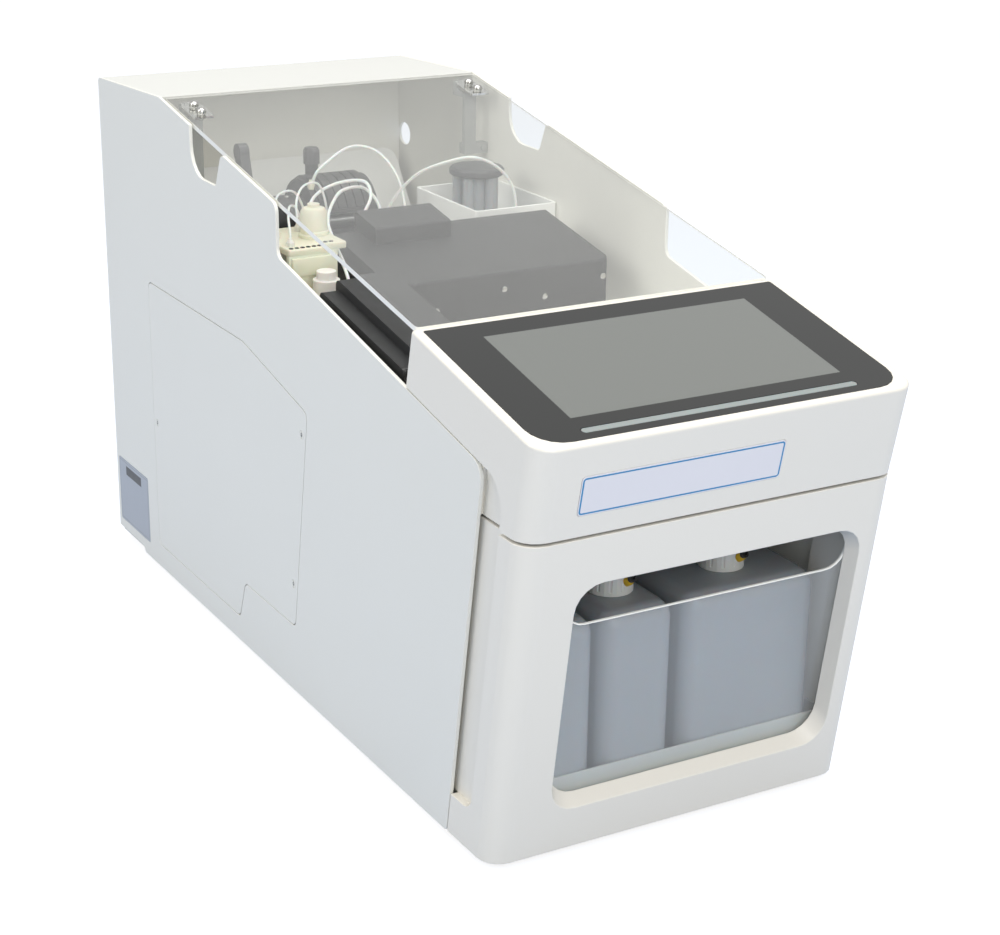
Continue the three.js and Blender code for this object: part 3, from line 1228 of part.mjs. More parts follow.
function buildFluidics() {
  const m = manifold;
  const blank = prismZ(rectangle(m.left, m.right, m.frontY, m.rearY, m.radius), deckTop, m.topZ);
  const low = box(m.right - m.step, m.right + overrun, m.frontY - overrun, m.rearY + overrun, m.topZ - m.step, m.topZ + overrun);
  let blockSolid = cut(blank, low);
  const pitch = (m.rearY - m.frontY) / valve.count;
  for (let i = 0; i < valve.count; i++) {
    const y = m.frontY + pitch * (i + 0.5);
    blockSolid = joined(
      blockSolid,
      rod("z", m.portRadius, m.topZ - m.step - touchGap, m.topZ - m.step + m.portRise, m.right - m.step / 2, y),
    );
  }
  piece("valve_manifold", blockSolid, FINISHES.cream);
  for (let i = 0; i < valve.count; i++) {
    const y = m.frontY + pitch * (i + 0.5);
    const profile = [
      [0, 0],
      [valve.radius, 0],
      [valve.radius, valve.height],
      [valve.capRadius, valve.height],
      [valve.capRadius, valve.height + valve.capHeight],
      [0, valve.height + valve.capHeight],
    ];
    piece(`solenoid_valve_${i + 1}`, turned(profile), FINISHES.capWhite, new THREE.Vector3(valve.x, y, m.topZ + touchGap));
  }
  const c = coil;
  const coilHeight = c.pitch * c.turns;
  const bobbinRadius = c.radius - c.tubeRadius - c.clearance;
  const base = deckTop;
  const top = base + c.lift + coilHeight + c.pitch * 2;
  const flangeRadius = c.radius + c.tubeRadius + c.clearance;
  const bobbin = turned([
    [0, 0],
    [flangeRadius, 0],
    [flangeRadius, c.flange],
    [bobbinRadius, c.flange],
    [bobbinRadius, top - base - c.flange],
    [flangeRadius, top - base - c.flange],
    [flangeRadius, top - base],
    [0, top - base],
  ]);
  piece("mixing_coil_bobbin", bobbin, FINISHES.cream, new THREE.Vector3(c.x, c.y, base));
  const points = [];
  const count = c.turns * c.stepsPerTurn;
  for (let i = 0; i <= count; i++) {
    const angle = (i * 2 * Math.PI) / c.stepsPerTurn;
    points.push(new THREE.Vector3(Math.cos(angle) * c.radius, Math.sin(angle) * c.radius, (c.pitch * i) / c.stepsPerTurn));
  }
  let leastGap = Infinity;
  for (let i = 0; i + c.stepsPerTurn <= count; i++) {
    leastGap = Math.min(leastGap, points[i].distanceTo(points[i + c.stepsPerTurn]) - 2 * c.tubeRadius);
  }
  console.log("mixing coil least gap to itself", leastGap.toFixed(3));
  const seat = new THREE.Vector3(c.x, c.y, base + c.lift);
  piece("mixing_coil", tube(points, c.tubeRadius, count, c.sides), FINISHES.tubing, seat);
}

// Sampling valve in its tray at the right
const sampleTray = { left: 72, frontY: 442, rearY: 556, topZ: 366, sheet: 2, radius: 3 };
const selector = {
  x: 105, y: 500, discRadius: 25, discHeight: 8, discZ: 385, hubRadius: 13, columns: 5, columnRadius: 5, circle: 17, baseHeight: 10,
};
function buildSampler() {
  const t = sampleTray;
  const right = innerHalf - touchGap;
  const plan = (inset) => rectangle(t.left + inset, right - inset, t.frontY + inset, t.rearY - inset, t.radius);
  const walls = cut(prismZ(plan(0), deckTop, t.topZ), prismZ(plan(t.sheet), deckTop + t.sheet, t.topZ + overrun));
  piece("sample_tray", walls, FINISHES.deckWhite);
  const s = selector;
  const floor = deckTop + t.sheet + touchGap;
  let core = turned([
    [0, 0],
    [s.circle + s.columnRadius, 0],
    [s.circle + s.columnRadius, s.baseHeight],
    [s.hubRadius, s.baseHeight],
    [s.hubRadius, s.discZ - floor - touchGap],
    [0, s.discZ - floor - touchGap],
  ]);
  for (let i = 0; i < s.columns; i++) {
    const angle = (i * 2 * Math.PI) / s.columns;
    core = joined(
      core,
      rod("z", s.columnRadius, s.baseHeight / 2, s.discZ - floor - touchGap, Math.cos(angle) * s.circle, Math.sin(angle) * s.circle),
    );
  }
  const place = new THREE.Vector3(s.x, s.y, floor);
  piece("sampling_valve", core, FINISHES.translucent, place);
  const disc = turned([
    [0, 0],
    [s.discRadius - s.discHeight / 4, 0],
    [s.discRadius, s.discHeight / 4],
    [s.discRadius, s.discHeight * 0.75],
    [s.discRadius - s.discHeight / 4, s.discHeight],
    [0, s.discHeight],
  ], roundSides);
  piece("sampling_disc", disc, FINISHES.darkGrey, new THREE.Vector3(s.x, s.y, s.discZ));
}

// White tubing, held at both ends
const tubing = { radius: 1.4, steps: 20, sides: 6 };
const tubeRoutes = [
  ["tube_pump_feed", [
    [-38, 548, 378.0], [-34, 545, 391], [-21, 547, 400], [-2, 553, 408], [14, 556, 409], [30, 550, 403], [41, 532, 382],
    [43, 518, 345], [43, 508, 291.4],
  ]],
  ["tube_manifold_link", [
    [-101, 336, 335], [-100, 345, 352], [-94, 380, 368], [-82, 420, 378], [-62, 452, 386], [-44, 470, 391], [-20, 478, 389],
    [-10, 470, 376], [-12, 458, 350], [-14, 452, 291.4],
  ]],
  ["tube_valve_loop", [
    [-101, 411, 335], [-102, 418, 350], [-92, 440, 372], [-76, 466, 385], [-56, 482, 391], [-36, 484, 395], [-24, 468, 397],
    [-28, 448, 388], [-40, 440, 372], [-44, 436, 340], [-44, 434, 291.4],
  ]],
  ["tube_sample_line", [
    [25, 530, 341.4], [29, 522, 362], [44, 500, 391], [64, 480, 404], [83, 471, 408], [101, 468, 402], [118, 468, 388],
    [127, 468, 370], [127, 468, 330], [127, 468, 294],
  ]],
];
function buildTubing() {
  for (const [name, route] of tubeRoutes) {
    const points = route.map(([x, y, z]) => new THREE.Vector3(x, y, z));
    piece(name, tube(points, tubing.radius, tubing.steps, tubing.sides), FINISHES.tubing);
  }
}

function buildRatingPlate() {
  piece("rating_plate", prismX(ratingOutline(0), -halfWidth, -halfWidth + rating.thickness), FINISHES.label);
}

buildSidePanels();
buildAccessCover();
buildTopStrip();
buildRearPanel();
buildFan();
buildInlets();
buildFloorAndDeck();
buildFeet();
buildHead();
buildDisplay();
buildDrawerFront();
buildPane();
buildTray();
buildCans();
buildLid();
buildOptics();
buildPump();
buildFluidics();
buildSampler();
buildTubing();
buildRatingPlate();

// Stand the body on its feet, centred on its own extents.
frame.updateMatrixWorld(true);
const extents = new THREE.Box3().setFromObject(frame);
const centre = extents.getCenter(new THREE.Vector3());
frame.position.set(-centre.x, -centre.y, body.footHeight);

export default analyzer;
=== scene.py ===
import json
import logging
import math
from collections.abc import Sequence
from dataclasses import dataclass, field
from enum import Enum

import bmesh
import bpy
from bmesh.types import BMesh, BMVert
from bpy.types import Material, Mesh, Node, NodeSocket, NodeTree, Object
from mathutils import Matrix, Vector
from mathutils.bvhtree import BVHTree

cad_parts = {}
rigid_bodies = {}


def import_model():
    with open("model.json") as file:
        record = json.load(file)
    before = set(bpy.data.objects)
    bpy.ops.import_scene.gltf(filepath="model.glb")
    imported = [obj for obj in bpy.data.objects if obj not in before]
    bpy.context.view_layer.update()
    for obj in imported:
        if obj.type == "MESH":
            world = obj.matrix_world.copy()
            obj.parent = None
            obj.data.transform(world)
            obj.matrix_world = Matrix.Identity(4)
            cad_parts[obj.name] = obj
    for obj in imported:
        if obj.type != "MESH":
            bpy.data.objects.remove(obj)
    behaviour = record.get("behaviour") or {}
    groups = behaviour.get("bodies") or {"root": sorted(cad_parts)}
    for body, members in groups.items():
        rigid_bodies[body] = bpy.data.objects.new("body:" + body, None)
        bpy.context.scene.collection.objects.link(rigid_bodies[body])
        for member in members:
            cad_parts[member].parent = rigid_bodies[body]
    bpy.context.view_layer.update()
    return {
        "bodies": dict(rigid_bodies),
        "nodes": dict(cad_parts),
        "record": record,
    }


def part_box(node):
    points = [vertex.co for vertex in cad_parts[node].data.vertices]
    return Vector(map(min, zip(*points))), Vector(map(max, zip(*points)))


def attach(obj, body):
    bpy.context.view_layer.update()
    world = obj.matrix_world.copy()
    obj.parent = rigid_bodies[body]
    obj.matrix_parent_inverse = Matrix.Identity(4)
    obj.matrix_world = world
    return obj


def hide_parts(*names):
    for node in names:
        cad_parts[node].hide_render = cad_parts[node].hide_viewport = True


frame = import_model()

LOG = logging.getLogger("analyzer")
MM = 0.001
FOOT_HEIGHT = 6.0
BODY_DEPTH = 758.0
DATUM_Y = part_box("left_side_panel")[1][1] - BODY_DEPTH * MM
HEAD_SLOPE = math.radians(12.0)
LID_SLOPE = math.radians(10.4)
FRONT_LEAN = math.radians(9.0)
GLASS_THICKNESS = 2.3
ACTIVE_MIDDLE = 89.15

EDGE_ANGLE = 32.0
SMOOTH_ANGLE = 35.0
ROUND_ANGLE = 40.0
FLAT_ANGLE = math.radians(0.4)
SOLID_GAP = 2e-6
SEAM_GAP = 1e-6
LEAST_SPAN = 1e-9
FACE_COSINE = 0.5
ARC_STEPS = 16
CURVE_ORDER = 4
CURVE_STEPS = 8
EDGE_SLOT = 1

DRIFT_DETAIL = 4.0
SHEEN_DETAIL = 6.0
SHEEN_FINENESS = 7.0
MIX_A, MIX_B, MIX_RESULT = 6, 7, 2

Point = tuple[float, float, float]
Colour = tuple[float, float, float]
Profile = tuple[tuple[float, float], ...]
Route = tuple[Point, ...]
Routes = tuple[tuple[str, Route], ...]


class Body(str, Enum):
    """The bodies that the added pieces ride on."""

    CHASSIS = "chassis"
    COVER = "access_cover"
    CAP_LEFT = "cap_left"
    CAP_MIDDLE = "cap_middle"
    CAP_RIGHT = "cap_right"


class Slot(str, Enum):
    """The record's material slots meant for the added pieces."""

    BLACK_PLASTIC = "black_plastic"
    CAP_WHITE = "cap_white"
    CREAM = "cream"
    DARK_GREY = "dark_grey"
    PANEL_WHITE = "panel_white"
    RUBBER = "rubber"
    STEEL = "steel"
    TUBING = "tubing"


def at(x: float, y: float, z: float) -> Vector:
    """Place of a point given in the body's own millimetres.

    Args:
        x: Millimetres to the right.
        y: Millimetres behind the foot of the slanted front.
        z: Millimetres above the underside of the side panels.

    Returns:
        The point in the scene's metres.
    """
    return Vector((x * MM, y * MM + DATUM_Y, (z + FOOT_HEIGHT) * MM))


# Shader groups


def new_group(
    name: str, inputs: Sequence[tuple[str, str, object]], outputs: Sequence[tuple[str, str]]
) -> tuple[NodeTree, Node, Node]:
    """Starts a shader node group with named sockets.

    Args:
        name: The group's name.
        inputs: Name, socket type and default of each input.
        outputs: Name and socket type of each output.

    Returns:
        The group with its input and output nodes.
    """
    group = bpy.data.node_groups.new(name, "ShaderNodeTree")
    for label, kind, default in inputs:
        socket = group.interface.new_socket(name=label, in_out="INPUT", socket_type=kind)
        if default is not None:
            socket.default_value = default
    for label, kind in outputs:
        group.interface.new_socket(name=label, in_out="OUTPUT", socket_type=kind)
    return group, group.nodes.new("NodeGroupInput"), group.nodes.new("NodeGroupOutput")


def math_node(tree: NodeTree, operation: str, *values: object) -> NodeSocket:
    """Adds a Math node.

    Args:
        tree: The tree that gets the node.
        operation: The node's operation.
        values: Sockets or numbers for its inputs.

    Returns:
        The node's output socket.
    """
    node = tree.nodes.new("ShaderNodeMath")
    node.operation = operation
    for i, value in enumerate(values):
        if isinstance(value, NodeSocket):
            tree.links.new(value, node.inputs[i])
        else:
            node.inputs[i].default_value = value
    return node.outputs[0]


def set_inputs(node: Node, values: dict[str, object]) -> None:
    """Sets a node's inputs by their names."""
    for name, value in values.items():
        node.inputs[name].default_value = value


def place_group(tree: NodeTree, group: NodeTree, values: dict[str, object]) -> Node:
    """Places a shared group in a tree.

    Args:
        tree: The tree that gets it.
        group: The shared group.
        values: Its inputs by name.

    Returns:
        The group's node.
    """
    node = tree.nodes.new("ShaderNodeGroup")
    node.node_tree = group
    set_inputs(node, values)
    return node


def build_grain_group() -> NodeTree:
    """Builds the fine surface grain shared by coats and mouldings.

    Returns:
        The group, which gives a height.
    """
    group, start, end = new_group(
        "Surface grain",
        [
            ("Vector", "NodeSocketVector", None),
            ("Scale", "NodeSocketFloat", 900.0),
            ("Detail", "NodeSocketFloat", 3.0),
            ("Stretch", "NodeSocketVector", (1.0, 1.0, 1.0)),
        ],
        [("Height", "NodeSocketFloat")],
    )
    stretch = group.nodes.new("ShaderNodeVectorMath")
    stretch.operation = "MULTIPLY"
    noise = group.nodes.new("ShaderNodeTexNoise")
    group.links.new(start.outputs["Vector"], stretch.inputs[0])
    group.links.new(start.outputs["Stretch"], stretch.inputs[1])
    group.links.new(stretch.outputs[0], noise.inputs["Vector"])
    group.links.new(start.outputs["Scale"], noise.inputs["Scale"])
    group.links.new(start.outputs["Detail"], noise.inputs["Detail"])
    group.links.new(noise.outputs["Fac"], end.inputs["Height"])
    return group


def build_tone_group() -> NodeTree:
    """Builds the slow drift of tone and sheen over a surface, with faint marks of handling.

    Returns:
        The group, which gives a colour and a roughness.
    """
    group, start, end = new_group(
        "Slow tone",
        [
            ("Vector", "NodeSocketVector", None),
            ("Colour", "NodeSocketColor", (0.8, 0.8, 0.8, 1.0)),
            ("Second", "NodeSocketColor", (0.7, 0.7, 0.7, 1.0)),
            ("Roughness", "NodeSocketFloat", 0.5),
            ("Spread", "NodeSocketFloat", 0.06),
            ("Scale", "NodeSocketFloat", 6.0),
        ],
        [("Colour", "NodeSocketColor"), ("Roughness", "NodeSocketFloat")],
    )
    noise = group.nodes.new("ShaderNodeTexNoise")
    noise.inputs["Detail"].default_value = DRIFT_DETAIL
    fine = group.nodes.new("ShaderNodeTexNoise")
    fine.inputs["Detail"].default_value = SHEEN_DETAIL
    mix = group.nodes.new("ShaderNodeMix")
    mix.data_type = "RGBA"
    group.links.new(start.outputs["Vector"], noise.inputs["Vector"])
    group.links.new(start.outputs["Vector"], fine.inputs["Vector"])
    group.links.new(start.outputs["Scale"], noise.inputs["Scale"])
    finer = math_node(group, "MULTIPLY", start.outputs["Scale"], SHEEN_FINENESS)
    group.links.new(finer, fine.inputs["Scale"])
    group.links.new(noise.outputs["Fac"], mix.inputs["Factor"])
    group.links.new(start.outputs["Colour"], mix.inputs[MIX_A])
    group.links.new(start.outputs["Second"], mix.inputs[MIX_B])
    group.links.new(mix.outputs[MIX_RESULT], end.inputs["Colour"])
    centred = math_node(group, "SUBTRACT", fine.outputs["Fac"], 0.5)
    drift = math_node(group, "MULTIPLY", centred, start.outputs["Spread"])
    total = math_node(group, "ADD", start.outputs["Roughness"], drift)
    group.links.new(total, end.inputs["Roughness"])
    return group


def build_frame_group() -> NodeTree:
    """Builds the masks of a rounded rectangle: its line and its inside, on a plane of two coordinates.

    Returns:
        The group, which gives the two masks.
    """
    group, start, end = new_group(
        "Rounded frame",
        [
            ("Across", "NodeSocketFloat", 0.0),
            ("Along", "NodeSocketFloat", 0.0),
            ("Half width", "NodeSocketFloat", 0.05),
            ("Half height", "NodeSocketFloat", 0.03),
            ("Radius", "NodeSocketFloat", 0.003),
            ("Line", "NodeSocketFloat", 0.001),
        ],
        [("Line", "NodeSocketFloat"), ("Inside", "NodeSocketFloat")],
    )

    def beyond(coordinate: str, half: str) -> NodeSocket:
        """Distance of one coordinate past the straight part of its side.

        Args:
            coordinate: The group input with the coordinate.
            half: The group input with half of the size.

        Returns:
            The socket with the distance, below 0 on the straight part.
        """
        size = math_node(group, "ABSOLUTE", start.outputs[coordinate])
        straight = math_node(group, "SUBTRACT", start.outputs[half], start.outputs["Radius"])
        return math_node(group, "SUBTRACT", size, straight)

    across, along = beyond("Across", "Half width"), beyond("Along", "Half height")
    out_x, out_y = math_node(group, "MAXIMUM", across, 0.0), math_node(group, "MAXIMUM", along, 0.0)
    squares = math_node(
        group, "ADD", math_node(group, "MULTIPLY", out_x, out_x), math_node(group, "MULTIPLY", out_y, out_y)
    )
    outer = math_node(group, "SQRT", squares)
    inner = math_node(group, "MINIMUM", math_node(group, "MAXIMUM", across, along), 0.0)
    distance = math_node(group, "SUBTRACT", math_node(group, "ADD", outer, inner), start.outputs["Radius"])
    inside = math_node(group, "LESS_THAN", distance, 0.0)
    deep = math_node(group, "LESS_THAN", math_node(group, "ADD", distance, start.outputs["Line"]), 0.0)
    group.links.new(inside, end.inputs["Inside"])
    group.links.new(math_node(group, "SUBTRACT", inside, deep), end.inputs["Line"])
    return group


GRAIN = build_grain_group()
TONE = build_tone_group()
FRAME_MASK = build_frame_group()


# Finishes


@dataclass(frozen=True)
class Finish:
    """A surface finish: its tones, sheen and grain."""

    name: str
    colour: Colour
    second: Colour
    roughness: float = 0.5
    spread: float = 0.08
    tone_scale: float = 6.0
    metallic: float = 0.0
    grain_scale: float = 900.0
    grain_height: float = 0.05
    grain_stretch: Point = (1.0, 1.0, 1.0)
    coat: float = 0.0
    coat_roughness: float = 0.1
    subsurface: float = 0.0
    ior: float = 1.5
    grain_depth: float = 0.4 * MM
    subsurface_depth: float = 0.01

    def nodes(self) -> tuple[Material, NodeTree, Node]:
        """Starts the material with its grain and tone.

        Returns:
            The material, its tree and its shader.
        """
        material = bpy.data.materials.new(self.name)
        material.use_nodes = True
        tree = material.node_tree
        shader = tree.nodes["Principled BSDF"]
        where = tree.nodes.new("ShaderNodeTexCoord").outputs["Object"]
        tone = place_group(tree, TONE, {
            "Colour": (*self.colour, 1.0), "Second": (*self.second, 1.0), "Roughness": self.roughness,
            "Spread": self.spread, "Scale": self.tone_scale,
        })
        grain = place_group(tree, GRAIN, {"Scale": self.grain_scale, "Stretch": self.grain_stretch})
        bump = tree.nodes.new("ShaderNodeBump")
        set_inputs(bump, {"Strength": self.grain_height, "Distance": self.grain_depth})
        tree.links.new(where, tone.inputs["Vector"])
        tree.links.new(where, grain.inputs["Vector"])
        tree.links.new(grain.outputs["Height"], bump.inputs["Height"])
        tree.links.new(bump.outputs["Normal"], shader.inputs["Normal"])
        tree.links.new(tone.outputs["Colour"], shader.inputs["Base Color"])
        tree.links.new(tone.outputs["Roughness"], shader.inputs["Roughness"])
        set_inputs(shader, {
            "Metallic": self.metallic, "IOR": self.ior, "Coat Weight": self.coat,
            "Coat Roughness": self.coat_roughness,
        })
        if self.subsurface:
            depth = self.subsurface_depth
            set_inputs(shader, {"Subsurface Weight": self.subsurface, "Subsurface Scale": depth})
        return material, tree, shader

    def build(self) -> Material:
        """Builds the material."""
        return self.nodes()[0]


@dataclass(frozen=True)
class FramedFinish(Finish):
    """A finish with a rounded rectangle on it: a drawn line, and another tone inside."""

    centre: Point = (0.0, 0.0, 0.0)
    turn: float = 0.0
    half_width: float = 0.05
    half_height: float = 0.03
    radius: float = 0.003
    line: float = 0.001
    line_colour: Colour = (0.1, 0.3, 0.6)
    inside_colour: Colour | None = None
    inside_roughness: float | None = None
    upright: bool = False

    def build(self) -> Material:
        """Builds the material with its frame.

        Returns:
            The new material.
        """
        material, tree, shader = self.nodes()
        where = tree.nodes.new("ShaderNodeTexCoord").outputs["Object"]
        centred = tree.nodes.new("ShaderNodeVectorMath")
        centred.operation = "SUBTRACT"
        centred.inputs[1].default_value = self.centre
        turned = tree.nodes.new("ShaderNodeVectorRotate")
        turned.rotation_type = "X_AXIS"
        turned.inputs["Angle"].default_value = -self.turn
        parts = tree.nodes.new("ShaderNodeSeparateXYZ")
        mask = place_group(tree, FRAME_MASK, {
            "Half width": self.half_width, "Half height": self.half_height, "Radius": self.radius,
            "Line": self.line,
        })
        tree.links.new(where, centred.inputs[0])
        tree.links.new(centred.outputs[0], turned.inputs["Vector"])
        tree.links.new(turned.outputs[0], parts.inputs[0])
        across, along = ("Y", "Z") if self.upright else ("X", "Y")
        tree.links.new(parts.outputs[across], mask.inputs["Across"])
        tree.links.new(parts.outputs[along], mask.inputs["Along"])
        if self.inside_colour is not None:
            self._lay_over(tree, shader, mask.outputs["Inside"], self.inside_colour)
        if self.inside_roughness is not None:
            self._blend_sheen(tree, shader, mask.outputs["Inside"])
        self._lay_over(tree, shader, mask.outputs["Line"], self.line_colour)
        return material

    def _lay_over(self, tree: NodeTree, shader: Node, mask: NodeSocket, colour: Colour) -> None:
        """Lays a colour over the shader's base colour, by a mask.

        Args:
            tree: The material's tree.
            shader: Its shader.
            mask: Where the colour goes.
            colour: The colour.
        """
        mix = tree.nodes.new("ShaderNodeMix")
        mix.data_type = "RGBA"
        base = shader.inputs["Base Color"]
        source = base.links[0].from_socket
        tree.links.new(mask, mix.inputs["Factor"])
        tree.links.new(source, mix.inputs[MIX_A])
        mix.inputs[MIX_B].default_value = (*colour, 1.0)
        tree.links.new(mix.outputs[MIX_RESULT], base)

    def _blend_sheen(self, tree: NodeTree, shader: Node, mask: NodeSocket) -> None:
        """Changes the roughness inside the frame.

        Args:
            tree: The material's tree.
            shader: Its shader.
            mask: The inside of the frame.
        """
        source = shader.inputs["Roughness"].links[0].from_socket
        kept = math_node(tree, "MULTIPLY", source, math_node(tree, "SUBTRACT", 1.0, mask))
        added = math_node(tree, "MULTIPLY", mask, self.inside_roughness)
        tree.links.new(math_node(tree, "ADD", kept, added), shader.inputs["Roughness"])


@dataclass(frozen=True)
class ClearFinish:
    """A clear sheet that lets light through to what lies behind it."""

    name: str
    colour: Colour = (0.9, 0.92, 0.92)
    roughness: float = 0.02
    ior: float = 1.49
    shade: float = 0.85
    haze: float = 0.0
    smear_scale: float = 9.0

    def build(self) -> Material:
        """Builds the material; shadow and diffuse rays pass with a faint tint.

        Returns:
            The new material.
        """
        material = bpy.data.materials.new(self.name)
        material.use_nodes = True
        tree = material.node_tree
        shader = tree.nodes["Principled BSDF"]
        output = tree.nodes["Material Output"]
        set_inputs(shader, {
            "Base Color": (*self.colour, 1.0), "IOR": self.ior, "Transmission Weight": 1.0 - self.haze,
        })
        where = tree.nodes.new("ShaderNodeTexCoord")
        smears = place_group(tree, TONE, {
            "Roughness": self.roughness, "Spread": self.roughness, "Scale": self.smear_scale,
        })
        tree.links.new(where.outputs["Object"], smears.inputs["Vector"])
        tree.links.new(smears.outputs["Roughness"], shader.inputs["Roughness"])
        through = tree.nodes.new("ShaderNodeBsdfTransparent")
        through.inputs["Color"].default_value = (self.shade, self.shade, self.shade, 1.0)
        rays = tree.nodes.new("ShaderNodeLightPath")
        mix = tree.nodes.new("ShaderNodeMixShader")
        passing = math_node(tree, "MAXIMUM", rays.outputs["Is Shadow Ray"], rays.outputs["Is Diffuse Ray"])
        tree.links.new(passing, mix.inputs[0])
        tree.links.new(shader.outputs[0], mix.inputs[1])
        tree.links.new(through.outputs[0], mix.inputs[2])
        tree.links.new(mix.outputs[0], output.inputs["Surface"])
        return material


def middle_of(low: Sequence[float], high: Sequence[float]) -> Point:
    """The middle of a box between two corners."""
    return tuple((a + b) / 2 for a, b in zip(low, high))


def glass_finish() -> FramedFinish:
    """The display's black glass with its paler lit area.

    Returns:
        The finish, centred on the lit area.
    """
    low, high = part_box("display_glass")
    length = (high[1] - low[1] - GLASS_THICKNESS * MM * math.sin(HEAD_SLOPE)) / math.cos(HEAD_SLOPE)
    ahead = ACTIVE_MIDDLE * MM
    middle_y = low[1] + ahead * math.cos(HEAD_SLOPE)
    middle_z = high[2] - (length - ahead) * math.sin(HEAD_SLOPE)
    return FramedFinish(
        "display glass", (0.012, 0.013, 0.012), (0.016, 0.017, 0.016), roughness=0.05, spread=0.03,
        tone_scale=8.0, grain_height=0.0, centre=(0.0, middle_y, middle_z), turn=HEAD_SLOPE,
        half_width=113.6 * MM, half_height=61.2 * MM, radius=0.8 * MM, line=0.6 * MM,
        line_colour=(0.13, 0.14, 0.13), inside_colour=(0.175, 0.185, 0.175), inside_roughness=0.12,
    )


def badge_finish() -> FramedFinish:
    """The bare badge plate with its blue outline.

    Returns:
        The finish, centred on the plate.
    """
    low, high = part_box("badge_plate")
    return FramedFinish(
        "badge plate", (0.84, 0.83, 0.86), (0.80, 0.79, 0.83), roughness=0.3, spread=0.06, tone_scale=12.0,
        grain_height=0.02, coat=0.3, coat_roughness=0.1, centre=middle_of(low, high),
        turn=HEAD_SLOPE + math.pi / 2, half_width=82.8 * MM, half_height=14.4 * MM, radius=2.6 * MM,
        line=1.3 * MM, line_colour=(0.025, 0.24, 0.50),
    )


def label_finish() -> FramedFinish:
    """The bare rating plate with a thin printed border.

    Returns:
        The finish, centred on the plate.
    """
    low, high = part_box("rating_plate")
    return FramedFinish(
        "rating plate", (0.43, 0.465, 0.52), (0.40, 0.435, 0.49), roughness=0.35, spread=0.08,
        tone_scale=30.0, grain_height=0.05, centre=middle_of(low, high), half_width=37.5 * MM,
        half_height=31.0 * MM, radius=1.5 * MM, line=0.5 * MM, line_colour=(0.2, 0.22, 0.24), upright=True,
    )


